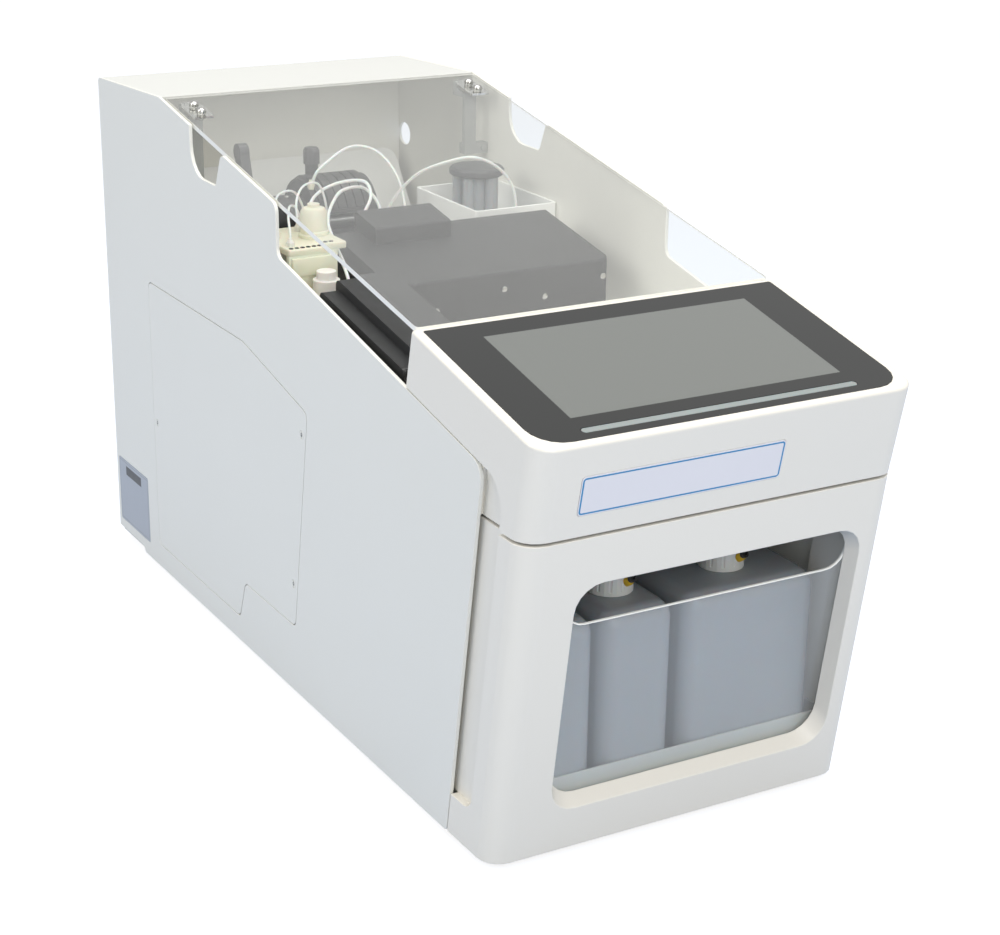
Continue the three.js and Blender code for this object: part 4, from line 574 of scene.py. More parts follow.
class Coat(Enum):
    """Every finish of the analyzer."""

    PANEL = Finish(
        "powder coat white", (0.88, 0.872, 0.81), (0.855, 0.852, 0.795), roughness=0.42, spread=0.1,
        tone_scale=3.0, grain_scale=700.0, grain_height=0.12, coat=0.15, coat_roughness=0.3,
    )
    # Painted shade: the rear strip has the same white powder coat as the panels; its darker colour stands in
    # for shade on its upward face.
    STRIP_SHADE = Finish(
        "rear strip coat with painted shade", (0.72, 0.725, 0.695), (0.70, 0.705, 0.68), roughness=0.6, spread=0.1,
        tone_scale=3.0, grain_scale=700.0, grain_height=0.12,
    )
    MOULDING = Finish(
        "moulded white", (0.893, 0.86, 0.78), (0.873, 0.84, 0.76), roughness=0.36, spread=0.08,
        tone_scale=4.0, grain_scale=1600.0, grain_height=0.05, coat=0.2, coat_roughness=0.25,
    )
    DECK = Finish(
        "deck white", (0.95, 0.955, 0.935), (0.92, 0.93, 0.91), roughness=0.5, spread=0.12, tone_scale=5.0,
        grain_height=0.08,
    )
    STEEL = Finish(
        "brushed steel", (0.62, 0.62, 0.62), (0.5, 0.5, 0.51), roughness=0.32, spread=0.2, tone_scale=20.0,
        metallic=1.0, grain_scale=500.0, grain_height=0.12, grain_stretch=(0.05, 1.0, 1.0),
    )
    ZINC = Finish(
        "zinc plate", (0.55, 0.56, 0.55), (0.42, 0.43, 0.44), roughness=0.38, spread=0.25, tone_scale=30.0,
        metallic=1.0, grain_height=0.06,
    )
    CHROME = Finish(
        "bright nickel", (0.56, 0.555, 0.53), (0.46, 0.455, 0.44), roughness=0.14, spread=0.08,
        tone_scale=60.0, metallic=1.0, grain_height=0.02,
    )
    BLACK = Finish(
        "black powder coat", (0.014, 0.0145, 0.015), (0.02, 0.0205, 0.022), roughness=0.5, spread=0.15,
        tone_scale=9.0, grain_scale=800.0, grain_height=0.2,
    )
    BLACK_PLASTIC = Finish(
        "black plastic", (0.02, 0.02, 0.021), (0.03, 0.03, 0.03), roughness=0.4, spread=0.12,
        tone_scale=25.0, grain_height=0.1,
    )
    SCREEN = Finish(
        "panel grey", (0.2, 0.21, 0.2), (0.18, 0.19, 0.18), roughness=0.4, spread=0.05, tone_scale=4.0,
        grain_height=0.02,
    )
    LIGHT_BAR = Finish(
        "diffuser", (0.3, 0.335, 0.33), (0.27, 0.31, 0.31), roughness=0.4, spread=0.05, tone_scale=20.0,
        grain_height=0.03, subsurface=0.1,
    )
    ACRYLIC = ClearFinish(
        "clear acrylic", (0.975, 0.985, 0.965), roughness=0.015, shade=1.0, haze=0.015,
    )
    PANE = ClearFinish(
        "clear window", (0.95, 0.975, 0.975), roughness=0.02, shade=0.96, haze=0.05,
    )
    # Painted highlight: the edges of the clear lid and window take this pale opaque colour in place of the
    # light that clear edges catch.
    EDGE = Finish(
        "acrylic edge painted highlight", (0.98, 0.975, 0.93), (0.93, 0.93, 0.89), roughness=0.35, spread=0.1,
        tone_scale=30.0, grain_height=0.05,
    )
    # Painted shade: the cans are translucent white plastic; this dark bluish grey stands in for the shade on
    # them. The sampling valve shares it.
    CAN_SHADE = Finish(
        "translucent can with painted shade", (0.335, 0.357, 0.38), (0.29, 0.31, 0.333), roughness=0.42, spread=0.12,
        tone_scale=12.0, grain_scale=260.0, grain_height=0.006, subsurface=0.4,
    )
    TRAY = Finish(
        "tray plastic", (0.56, 0.575, 0.56), (0.52, 0.535, 0.52), roughness=0.4, spread=0.1,
        tone_scale=9.0, grain_height=0.06, subsurface=0.2,
    )
    CREAM = Finish(
        "cream acetal", (0.78, 0.76, 0.6), (0.74, 0.72, 0.58), roughness=0.4, spread=0.1, tone_scale=40.0,
        grain_height=0.05, subsurface=0.2,
    )
    TUBING = Finish(
        "fluoropolymer tube", (0.86, 0.86, 0.84), (0.8, 0.8, 0.79), roughness=0.3, spread=0.1,
        tone_scale=60.0, grain_height=0.03, subsurface=0.3,
    )
    DARK_GREY = Finish(
        "dark grey plastic", (0.06, 0.062, 0.065), (0.045, 0.047, 0.05), roughness=0.4, spread=0.12,
        tone_scale=30.0, grain_height=0.08,
    )
    BRACKET = Finish(
        "grey bracket", (0.36, 0.37, 0.355), (0.3, 0.31, 0.3), roughness=0.42, spread=0.12,
        tone_scale=30.0, grain_scale=600.0, grain_height=0.08, grain_stretch=(1.0, 1.0, 0.06),
    )
    RUBBER = Finish(
        "rubber", (0.02, 0.02, 0.02), (0.03, 0.03, 0.03), roughness=0.8, spread=0.1, tone_scale=50.0,
        grain_height=0.3,
    )
    CAP = Finish(
        "cap white", (0.78, 0.77, 0.72), (0.74, 0.73, 0.69), roughness=0.4, spread=0.1, tone_scale=30.0,
        grain_height=0.06, subsurface=0.15,
    )
    YELLOW = Finish(
        "yellow fitting", (0.75, 0.48, 0.03), (0.65, 0.4, 0.02), roughness=0.4, spread=0.1,
        tone_scale=40.0, grain_height=0.05,
    )
    GLASS = glass_finish()
    BADGE = badge_finish()
    LABEL = label_finish()


def build_coats() -> dict[Coat, Material]:
    """Builds each finish's material once."""
    return {coat: coat.value.build() for coat in Coat}


# Mesh helpers


def merged_copy(node: str) -> Mesh:
    """Copies a solid's mesh with its doubled points merged and its flat faces rejoined.

    Args:
        node: The solid's name.

    Returns:
        The new mesh.
    """
    source = bmesh.new()
    source.from_mesh(frame["nodes"][node].data)
    bmesh.ops.remove_doubles(source, verts=source.verts, dist=SOLID_GAP)
    bmesh.ops.dissolve_limit(
        source, angle_limit=FLAT_ANGLE, use_dissolve_boundaries=False, verts=source.verts, edges=source.edges
    )
    mesh = bpy.data.meshes.new(node)
    source.to_mesh(mesh)
    source.free()
    return mesh


def smooth(mesh: Mesh, angle: float) -> None:
    """Shades a mesh smooth, with edges over the angle in degrees kept sharp."""
    mesh.shade_smooth()
    mesh.set_sharp_from_angle(angle=math.radians(angle))


def paint_edge_highlight(piece: Object, facing: Vector, finish: Material) -> None:
    """Gives the edges of a clear sheet a pale opaque colour, a painted highlight in place of the light that
    they catch.

    Args:
        piece: The sheet.
        facing: The direction that its faces look in.
        finish: The material of its edges.
    """
    piece.data.materials.append(finish)
    piece.modifiers["edge break"].material = EDGE_SLOT
    for face in piece.data.polygons:
        if abs(face.normal.dot(facing)) < FACE_COSINE:
            face.material_index = EDGE_SLOT


def lathe(profile: Profile, place: Vector, tilt: Matrix, steps: int) -> BMesh:
    """Spins a profile of radius and height in millimetres round its own axis.

    Args:
        profile: Points from the lower end on the axis to the upper end on the axis.
        place: Where the profile's zero goes.
        tilt: Turn of the axis from +Z.
        steps: Steps round.

    Returns:
        The mesh, in place.
    """
    bm = bmesh.new()
    points = [bm.verts.new((r * MM, 0.0, z * MM)) for r, z in profile]
    edges = [bm.edges.new(pair) for pair in zip(points, points[1:])]
    bmesh.ops.spin(
        bm, geom=points + edges, cent=(0, 0, 0), axis=(0, 0, 1), angle=math.tau, steps=steps, use_merge=True,
    )
    bmesh.ops.remove_doubles(bm, verts=bm.verts, dist=SEAM_GAP)
    bmesh.ops.recalc_face_normals(bm, faces=bm.faces)
    bmesh.ops.transform(bm, matrix=Matrix.Translation(place) @ tilt.to_4x4(), verts=bm.verts)
    return bm


def to_mesh(bm: BMesh, name: str, angle: float = SMOOTH_ANGLE) -> Mesh:
    """Turns a bmesh into a smooth-shaded mesh.

    Args:
        bm: The shape, which is used up.
        name: The mesh's name.
        angle: Edges over this many degrees stay sharp.

    Returns:
        The new mesh.
    """
    mesh = bpy.data.meshes.new(name)
    bm.to_mesh(mesh)
    bm.free()
    smooth(mesh, angle)
    return mesh


def joined(meshes: Sequence[BMesh]) -> BMesh:
    """Puts several bmeshes into one.

    Args:
        meshes: The bmeshes, which are used up.

    Returns:
        The whole.
    """
    whole = bmesh.new()
    for bm in meshes:
        part = bpy.data.meshes.new("part")
        bm.to_mesh(part)
        bm.free()
        whole.from_mesh(part)
        bpy.data.meshes.remove(part)
    return whole


@dataclass(frozen=True)
class Box:
    """A box between two corners in millimetres, with its edges broken."""

    low: Point
    high: Point
    edge: float = 0.0
    segments: int = 2

    def build(self) -> BMesh:
        """Builds the box in place."""
        return block(at(*self.low), at(*self.high), self.edge, self.segments)


def block(low: Vector, high: Vector, edge: float = 0.0, segments: int = 2) -> BMesh:
    """A box between two corners with its edges broken.

    Args:
        low: The corner at the left, front and bottom.
        high: The corner opposite.
        edge: Width of the edge break in millimetres.
        segments: Segments of the edge break.

    Returns:
        The box, in place.
    """
    bm = bmesh.new()
    bmesh.ops.create_cube(bm, size=1.0)
    size = high - low
    middle = (high + low) / 2
    placed = Matrix.Translation(middle) @ Matrix.Diagonal((*size, 1.0))
    bmesh.ops.transform(bm, matrix=placed, verts=bm.verts)
    if edge:
        bmesh.ops.bevel(
            bm, geom=bm.edges[:], offset=edge * MM, segments=segments, profile=0.5, affect="EDGES",
            material=-1,
        )
    return bm


def arc_block(
    left: float, right: float, y: float, z: float, radii: tuple[float, float], angles: tuple[float, float]
) -> BMesh:
    """A curved bar round an axis along X, in millimetres and degrees.

    Args:
        left: Its left side.
        right: Its right side.
        y: The axis's place behind the front.
        z: The axis's height.
        radii: Inner and outer radius.
        angles: First and last angle from straight behind, over the top to the front.

    Returns:
        The closed mesh.
    """
    bm = bmesh.new()
    first, last = (math.radians(a) for a in angles)
    behind, up = math.cos(first), math.sin(first)
    corners = ((left, radii[0]), (right, radii[0]), (right, radii[1]), (left, radii[1]))
    end = bm.faces.new([bm.verts.new(at(x, y + behind * r, z + up * r)) for x, r in corners])
    bmesh.ops.spin(
        bm, geom=[end], cent=at(0.0, y, z), axis=(1, 0, 0), angle=last - first, steps=ARC_STEPS,
    )
    bmesh.ops.recalc_face_normals(bm, faces=bm.faces)
    return bm


def seated(profile: Profile, node: str, places: Sequence[Vector], steps: int) -> BMesh:
    """Sets lathed screw heads on a solid, each where its faces are nearest to a place.

    Args:
        profile: The head's profile of radius and height.
        node: The solid's name.
        places: A place near each head's seat.
        steps: Steps round a head.

    Returns:
        The heads in one mesh.
    """
    solid = frame["nodes"][node].data
    faces = BVHTree.FromPolygons([v.co for v in solid.vertices], [p.vertices for p in solid.polygons])
    heads = []
    for place in places:
        spot, normal, _, away = faces.find_nearest(place)
        LOG.info("a screw on %s sits %.1f mm from its stated place", node, away / MM)
        heads.append(lathe(profile, spot, normal.to_track_quat("Z", "Y").to_matrix(), steps))
    return joined(heads)


def swept(points: Sequence[Vector], radius: float, name: str, sides: int = 3) -> Mesh:
    """A smooth round tube through points.

    Args:
        points: The route.
        radius: The tube's radius in millimetres.
        name: The mesh's name.
        sides: Bevel resolution of the curve.

    Returns:
        The tube's mesh.
    """
    curve = bpy.data.curves.new(name, "CURVE")
    curve.dimensions = "3D"
    spline = curve.splines.new("NURBS")
    spline.points.add(len(points) - 1)
    for target, point in zip(spline.points, points):
        target.co = (*point, 1.0)
    spline.use_endpoint_u = True
    spline.order_u = CURVE_ORDER
    curve.resolution_u = CURVE_STEPS
    curve.bevel_depth = radius * MM
    curve.bevel_resolution = sides
    curve.use_fill_caps = True
    holder = bpy.data.objects.new(name, curve)
    bpy.context.scene.collection.objects.link(holder)
    bpy.context.view_layer.update()
    mesh = bpy.data.meshes.new_from_object(holder.evaluated_get(bpy.context.evaluated_depsgraph_get()))
    bpy.data.objects.remove(holder)
    bpy.data.curves.remove(curve)
    mesh.name = name
    mesh.shade_smooth()
    return mesh


def through(points: Sequence[Vector], steps: int = 6) -> list[Vector]:
    """Centripetal curve through points, as the solid tubes have it.

    Args:
        points: The points that it passes.
        steps: Points between two of them.

    Returns:
        The finer points.
    """
    ends = [points[0] * 2 - points[1], *points, points[-1] * 2 - points[-2]]
    route: list[Vector] = []
    for p0, p1, p2, p3 in zip(ends, ends[1:], ends[2:], ends[3:]):
        t0 = 0.0
        t1 = t0 + math.sqrt(max((p1 - p0).length, LEAST_SPAN))
        t2 = t1 + math.sqrt(max((p2 - p1).length, LEAST_SPAN))
        t3 = t2 + math.sqrt(max((p3 - p2).length, LEAST_SPAN))
        for i in range(steps):
            t = t1 + (t2 - t1) * i / steps
            a1 = p0 * ((t1 - t) / (t1 - t0)) + p1 * ((t - t0) / (t1 - t0))
            a2 = p1 * ((t2 - t) / (t2 - t1)) + p2 * ((t - t1) / (t2 - t1))
            a3 = p2 * ((t3 - t) / (t3 - t2)) + p3 * ((t - t2) / (t3 - t2))
            b1 = a1 * ((t2 - t) / (t2 - t0)) + a2 * ((t - t0) / (t2 - t0))
            b2 = a2 * ((t3 - t) / (t3 - t1)) + a3 * ((t - t1) / (t3 - t1))
            route.append(b1 * ((t2 - t) / (t2 - t1)) + b2 * ((t - t1) / (t2 - t1)))
    route.append(points[-1])
    return route


UPRIGHT = Matrix.Identity(3)
FORWARD = Matrix.Rotation(math.pi / 2, 3, "X")
LEFTWARD = Matrix.Rotation(-math.pi / 2, 3, "Y")
LID_TILT = Matrix.Rotation(LID_SLOPE, 3, "X")


# Pieces


def slot_of(node: str) -> str:
    """The record's material slot of a node."""
    return next((s["material_slot"] for s in frame["record"]["subparts"] if s["node"] == node), "")


@dataclass
class Maker:
    """Makes and dresses pieces, and keeps count of them."""

    materials: dict[Coat, Material] = field(default_factory=build_coats)
    made: int = 0

    def add(self, name: str, mesh: Mesh, coat: Coat, slot: str, body: str) -> Object:
        """Adds a new piece.

        Args:
            name: The piece's name.
            mesh: Its mesh, in place.
            coat: Its finish.
            slot: The record's slot meant for it; not used.
            body: The body that it rides on.

        Returns:
            The new object.
        """
        piece = bpy.data.objects.new(name, mesh)
        bpy.context.scene.collection.objects.link(piece)
        mesh.materials.clear()
        mesh.materials.append(self.materials[coat])
        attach(piece, body)
        self.made += 1
        LOG.info("%s rides on %s, %d faces", name, body, len(mesh.polygons))
        return piece

    def fit(
        self, name: str, bm: BMesh, coat: Coat, slot: Slot, body: Body = Body.CHASSIS,
        angle: float = SMOOTH_ANGLE,
    ) -> Object:
        """Adds a new small piece from a bmesh.

        Args:
            name: The piece's name.
            bm: Its shape, in place, which is used up.
            coat: Its finish.
            slot: The record's slot meant for it.
            body: The body that it rides on.
            angle: Edges over this many degrees stay sharp.

        Returns:
            The new object.
        """
        return self.add(name, to_mesh(bm, name, angle), coat, slot.value, body.value)

    def dress(self, node: str, coat: Coat) -> None:
        """Gives a solid a finish.

        Args:
            node: The solid's name.
            coat: Its finish.
        """
        mesh = frame["nodes"][node].data
        mesh.materials.clear()
        mesh.materials.append(self.materials[coat])
        LOG.info("%s keeps its solid", node)

    def refine(
        self, node: str, coat: Coat, width: float, segments: int = 2, angle: float = EDGE_ANGLE
    ) -> Object:
        """Replaces a solid by a merged copy with softened edges and smooth curves.

        Args:
            node: The solid's name.
            coat: Its finish.
            width: Width of the edge break in millimetres, or 0 for none.
            segments: Segments of the edge break.
            angle: Edges over this many degrees are broken.

        Returns:
            The new object.
        """
        mesh = merged_copy(node)
        smooth(mesh, angle)
        carrier = frame["nodes"][node].parent.name
        body = next(name for name, empty in frame["bodies"].items() if empty.name == carrier)
        piece = self.add(node + "_fine", mesh, coat, slot_of(node), body)
        if width:
            bevel = piece.modifiers.new("edge break", "BEVEL")
            bevel.width = width * MM
            bevel.segments = segments
            bevel.limit_method = "ANGLE"
            bevel.angle_limit = math.radians(angle)
            bevel.use_clamp_overlap = True
            bevel.harden_normals = False
            bevel.miter_outer = "MITER_ARC"
        weighted = piece.modifiers.new("flat faces stay flat", "WEIGHTED_NORMAL")
        weighted.keep_sharp = True
        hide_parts(node)
        return piece


@dataclass(frozen=True)
class Look:
    """How a solid is shown: its finish and the width of its edge break, or no width to keep the solid."""

    coat: Coat
    width: float | None
    nodes: tuple[str, ...]
    segments: int = 2
    angle: float = EDGE_ANGLE

    def show(self, maker: Maker) -> dict[str, Object]:
        """Dresses or refines the nodes.

        Args:
            maker: What makes the pieces.

        Returns:
            The new object of each refined node.
        """
        if self.width is None:
            for node in self.nodes:
                maker.dress(node, self.coat)
            return {}
        return {n: maker.refine(n, self.coat, self.width, self.segments, self.angle) for n in self.nodes}


@dataclass
class SubAssembly:
    """Solids that belong together, with the looks that they get."""

    looks: tuple[Look, ...] = ()

    def show(self, maker: Maker) -> dict[str, Object]:
        """Gives every solid its look.

        Args:
            maker: What makes the pieces.

        Returns:
            The new object of each refined node.
        """
        pieces: dict[str, Object] = {}
        for look in self.looks:
            pieces.update(look.show(maker))
        return pieces

    def build(self, maker: Maker) -> None:
        """Builds the sub-assembly."""
        self.show(maker)


# Sub-assemblies


@dataclass
class Housing(SubAssembly):
    """The sheet-metal body: panels, strip, floor, deck, cover and feet."""

    looks: tuple[Look, ...] = (
        Look(Coat.PANEL, 0.5, ("left_side_panel", "right_side_panel", "rear_panel")),
        # The rear strip takes the darker colour of painted shade.
        Look(Coat.STRIP_SHADE, 0.5, ("rear_top_strip",)),
        Look(Coat.PANEL, 0.35, ("left_access_cover",)),
        Look(Coat.DECK, None, ("instrument_deck",)),
        Look(Coat.ZINC, None, ("base_pan",)),
        Look(Coat.LABEL, 0.0, ("rating_plate",)),
        Look(Coat.RUBBER, 0.6, ("foot_front_left", "foot_front_right", "foot_rear_left", "foot_rear_right")),
    )
    band_shares: tuple[tuple[float, float], tuple[float, float]] = ((0.24, 0.78), (0.76, 0.92))
    band_proud: float = 0.02
    band_sunk: float = 0.3
    cover_screws: tuple[tuple[float, float], ...] = ((311.5, 236.6), (333.4, 98.8), (639.0, 149.0))
    socket: Profile = ((0, -0.5), (1.7, -0.5), (1.7, 0.02), (1.2, 0.02), (1.0, -0.3), (0, -0.3))
    socket_sides: int = 6

    def build(self, maker: Maker) -> None:
        """Dresses the body.

        Args:
            maker: What makes the pieces.
        """
        self.show(maker)
        self._plate_band(maker)
        self._socket_shade(maker)

    def _socket_shade(self, maker: Maker) -> None:
        """Adds dark discs in the access cover's screw heads: painted shade for their sockets.

        Args:
            maker: What makes the pieces.
        """
        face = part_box("left_access_cover")[0][0] / MM
        places = [at(face, y, z) for y, z in self.cover_screws]
        # Painted shade: the dark grey discs stand in for the shade inside the sockets.
        sockets = [lathe(self.socket, place, LEFTWARD, self.socket_sides) for place in places]
        maker.fit("cover_socket_shade", joined(sockets), Coat.DARK_GREY, Slot.DARK_GREY, Body.COVER)

    def _plate_band(self, maker: Maker) -> None:
        """Adds the plain dark band near the rating plate's top edge.

        Args:
            maker: What makes the pieces.
        """
        low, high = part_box("rating_plate")
        wide, tall = high[1] - low[1], high[2] - low[2]
        near, far = ((low[1] + wide * a, low[2] + tall * b) for a, b in self.band_shares)
        outer, inner = low[0] - self.band_proud * MM, low[0] + self.band_sunk * MM
        band = block(Vector((outer, *near)), Vector((inner, *far)))
        maker.fit("rating_band", band, Coat.DARK_GREY, Slot.DARK_GREY)


@dataclass
class DisplayHead(SubAssembly):
    """The moulded head with its display glass, light bar and bare badge plate."""

    looks: tuple[Look, ...] = (
        Look(Coat.MOULDING, 0.5, ("head_moulding",), angle=ROUND_ANGLE),
        Look(Coat.GLASS, 0.25, ("display_glass",)),
        Look(Coat.SCREEN, None, ("display_module",)),
        Look(Coat.LIGHT_BAR, 0.4, ("status_light_bar",)),
        Look(Coat.BADGE, 0.2, ("badge_plate",)),
    )


@dataclass
class ReagentDrawer(SubAssembly):
    """The reagent drawer: moulded front, window, tray, runners, cans and caps."""

    looks: tuple[Look, ...] = (
        Look(Coat.MOULDING, 0.6, ("drawer_front",), angle=ROUND_ANGLE),
        Look(Coat.PANE, 1.0, ("window_pane",), segments=3),
        Look(Coat.TRAY, 0.3, ("drawer_tray",)),
        Look(Coat.STEEL, None, ("drawer_rail_left", "drawer_rail_right")),
        Look(Coat.ZINC, None, ("slide_channel_left", "slide_channel_right")),
        Look(
            Coat.CAN_SHADE, 0.0, ("reagent_can_left", "reagent_can_middle", "reagent_can_right"),
            angle=ROUND_ANGLE,
        ),
        Look(Coat.CAP, 0.4, ("can_cap_left", "can_cap_middle", "can_cap_right")),
    )
    cans: tuple[tuple[str, float], ...] = (("left", -102.5), ("middle", -23.0), ("right", 78.5))
    cap_y: float = 61.5
    collar: Profile = (
        (0, 0), (6.4, 0), (6.4, 2.6), (5.2, 3.4), (5.2, 6.5), (3.4, 8.6), (3.0, 13.0), (0, 13.0),
    )
    collar_foot: float = 188.4
    nut: Profile = ((0, 0), (4.2, 0), (4.2, 4.0), (3.2, 5.0), (1.6, 5.0), (1.6, 9.0), (0, 9.0))
    nut_foot: float = 200.5
    fitting_steps: int = 24
    elbow: Profile = ((0, -3.0), (4.4, -3.0), (4.4, 2.4), (3.4, 4.4), (2.2, 6.2), (0, 6.2))
    sleeve: Profile = ((0, 5.4), (3.0, 5.4), (3.0, 8.8), (1.6, 8.8), (1.6, 6.4), (0, 6.4))
    outlet_aside: float = 5.0
    outlet_ahead: float = 16.5
    outlet_height: float = 181.5
    outlet_lean: float = 58.0
    outlet_steps: int = 20

    def build(self, maker: Maker) -> None:
        """Dresses the drawer and adds the draw tubes' fittings on the caps.

        Args:
            maker: What makes the pieces.
        """
        pane = self.show(maker)["window_pane"]
        ahead = Vector((0, -math.cos(FRONT_LEAN), -math.sin(FRONT_LEAN)))
        paint_edge_highlight(pane, ahead, maker.materials[Coat.EDGE])
        for name, x in self.cans:
            self._fitting(maker, name, x)

    def _fitting(self, maker: Maker, name: str, x: float) -> None:
        """Adds the draw tube's fitting on one cap.

        Args:
            maker: What makes the pieces.
            name: Which can the cap closes.
            x: The cap's place across.
        """
        body = Body(f"cap_{name}")
        lean = Matrix.Rotation(math.radians(self.outlet_lean), 3, "X")
        outlet = at(x + self.outlet_aside, self.cap_y - self.outlet_ahead, self.outlet_height)
        collar = lathe(self.collar, at(x, self.cap_y, self.collar_foot), UPRIGHT, self.fitting_steps)
        nut = lathe(self.nut, at(x, self.cap_y, self.nut_foot), UPRIGHT, self.fitting_steps)
        elbow = lathe(self.elbow, outlet, lean, self.outlet_steps)
        sleeve = lathe(self.sleeve, outlet, lean, self.outlet_steps)
        maker.fit(f"draw_fitting_{name}", collar, Coat.YELLOW, Slot.CAP_WHITE, body)
        maker.fit(f"draw_nut_{name}", nut, Coat.BLACK_PLASTIC, Slot.BLACK_PLASTIC, body)
        maker.fit(f"draw_elbow_{name}", elbow, Coat.YELLOW, Slot.CAP_WHITE, body)
        maker.fit(f"draw_sleeve_{name}", sleeve, Coat.BLACK_PLASTIC, Slot.BLACK_PLASTIC, body)


@dataclass
class Lid(SubAssembly):
    """The clear lid with its bolted hinges."""

    looks: tuple[Look, ...] = (
        Look(Coat.ACRYLIC, 0.7, ("lid_panel",)),
        Look(Coat.CHROME, 0.2, ("hinge_leaf_left", "hinge_leaf_right")),
        Look(Coat.BRACKET, 0.3, ("hinge_bracket_left", "hinge_bracket_right")),
    )

    def build(self, maker: Maker) -> None:
        """Dresses the lid."""
        panel = self.show(maker)["lid_panel"]
        paint_edge_highlight(panel, LID_TILT @ Vector((0, 0, 1)), maker.materials[Coat.EDGE])


@dataclass
class InstrumentBay(SubAssembly):
    """The modules under the lid."""

    looks: tuple[Look, ...] = (
        Look(Coat.BLACK, 0.5, ("optics_cover", "heating_bath", "pump_base", "pump_platen")),
        Look(Coat.DARK_GREY, 0.4, ("pump_tension_knob", "pump_clamp_lever", "sampling_disc")),
        Look(Coat.STEEL, 0.3, ("pump_roller_drum",)),
        Look(Coat.CREAM, 0.5, ("valve_manifold",)),
        Look(Coat.CREAM, 0.4, ("mixing_coil_bobbin",)),
        Look(Coat.TUBING, 0.0, ("mixing_coil",), angle=70.0),
        Look(Coat.CAP, 0.5, ("solenoid_valve_1", "solenoid_valve_2", "solenoid_valve_3")),
        Look(Coat.DECK, 0.4, ("sample_tray",)),
        Look(Coat.CAN_SHADE, 0.3, ("sampling_valve",)),
    )
    optics_screws: tuple[Point, ...] = (
        (-74.0, 301.8, 335.1), (21.5, 301.8, 335.1), (117.0, 301.8, 335.1), (-41.0, 303.0, 324.0),
        (61.0, 303.0, 324.0),
    )
    optics_head: Profile = ((0, 0), (2.7, 0), (2.7, 0.6), (2.0, 1.3), (0, 1.5))
    optics_head_steps: int = 20
    pump_axis: Point = (-10.0, 566.0, 346.0)
    cassettes: int = 6
    cassette_pitch: float = 8.8
    cassette_share: float = 0.84
    cassette_radii: tuple[float, float] = (35.2, 38.6)
    cassette_angles: tuple[float, float] = (22.0, 158.0)
    pump_screws: Routes = (
        ("pump_base", (
            (-52.0, 520.0, 352.0), (-46.0, 530.0, 372.0), (-40.0, 520.0, 338.0), (-56.0, 560.0, 380.0),
        )),
        ("pump_platen", ((-20.0, 528.0, 372.0),)),
    )
    pump_head: Profile = ((0, -0.4), (2.4, -0.4), (2.4, 0.8), (1.6, 1.5), (0, 1.6))
    pump_head_steps: int = 18
    cover_half: float = 148.0
    cover_foot: tuple[float, float] = (704.0, 294.0)
    cover_top: tuple[float, float] = (752.0, 361.0)
    cover_radius: float = 12.0
    cover_corner_steps: int = 6
    cover_thickness: float = 1.5

    def build(self, maker: Maker) -> None:
        """Dresses the modules and adds their small fittings.

        Args:
            maker: What makes the pieces.
        """
        self.show(maker)
        self._optics_screws(maker)
        self._cassettes(maker)
        self._rear_cover(maker)
        self._pump_screws(maker)

    def _optics_screws(self, maker: Maker) -> None:
        """Adds the bright screw heads on the optics cover's front.

        Args:
            maker: What makes the pieces.
        """
        places = [at(*p) for p in self.optics_screws]
        heads = [lathe(self.optics_head, place, FORWARD, self.optics_head_steps) for place in places]
        maker.fit("optics_screws", joined(heads), Coat.CHROME, Slot.STEEL)

    def _cassettes(self, maker: Maker) -> None:
        """Adds the row of tube cassettes arched over the pump's platen.

        Args:
            maker: What makes the pieces.
        """
        x, y, z = self.pump_axis
        width = self.cassette_pitch * self.cassette_share
        arcs = []
        for i in range(self.cassettes):
            left = x + (i - self.cassettes / 2) * self.cassette_pitch
            arcs.append(arc_block(left, left + width, y, z, self.cassette_radii, self.cassette_angles))
        maker.fit("pump_cassettes", joined(arcs), Coat.BLACK_PLASTIC, Slot.BLACK_PLASTIC)

    def _rear_cover(self, maker: Maker) -> None:
        """Adds the thin sloping sheet over the wiring at the rear of the bay.

        Args:
            maker: What makes the pieces.
        """
        (low_y, low_z), (high_y, high_z) = self.cover_foot, self.cover_top
        length, half = math.hypot(high_y - low_y, high_z - low_z), self.cover_half
        outline = ((-half, 0.0), (half, 0.0), (half, length), (-half, length))
        bm = bmesh.new()
        corners = [bm.verts.new((x * MM, y * MM, 0.0)) for x, y in outline]
        bm.faces.new(corners)
        bmesh.ops.bevel(
            bm, geom=corners[2:], offset=self.cover_radius * MM, segments=self.cover_corner_steps,
            profile=0.5, affect="VERTICES", material=-1,
        )
        grown = bmesh.ops.extrude_face_region(bm, geom=bm.faces[:])["geom"]
        raised = [v for v in grown if isinstance(v, BMVert)]
        bmesh.ops.translate(bm, vec=(0, 0, self.cover_thickness * MM), verts=raised)
        bmesh.ops.recalc_face_normals(bm, faces=bm.faces)
        lean = Matrix.Rotation(math.atan2(high_z - low_z, high_y - low_y), 4, "X")
        bmesh.ops.transform(bm, matrix=Matrix.Translation(at(0, low_y, low_z)) @ lean, verts=bm.verts)
        maker.fit("bay_rear_cover", bm, Coat.DECK, Slot.PANEL_WHITE)

    def _pump_screws(self, maker: Maker) -> None:
        """Seats bright screws on the pump's housing.

        Args:
            maker: What makes the pieces.
        """
        heads = [
            seated(self.pump_head, node, [at(*p) for p in places], self.pump_head_steps)
            for node, places in self.pump_screws
        ]
        maker.fit("pump_screws", joined(heads), Coat.CHROME, Slot.STEEL)


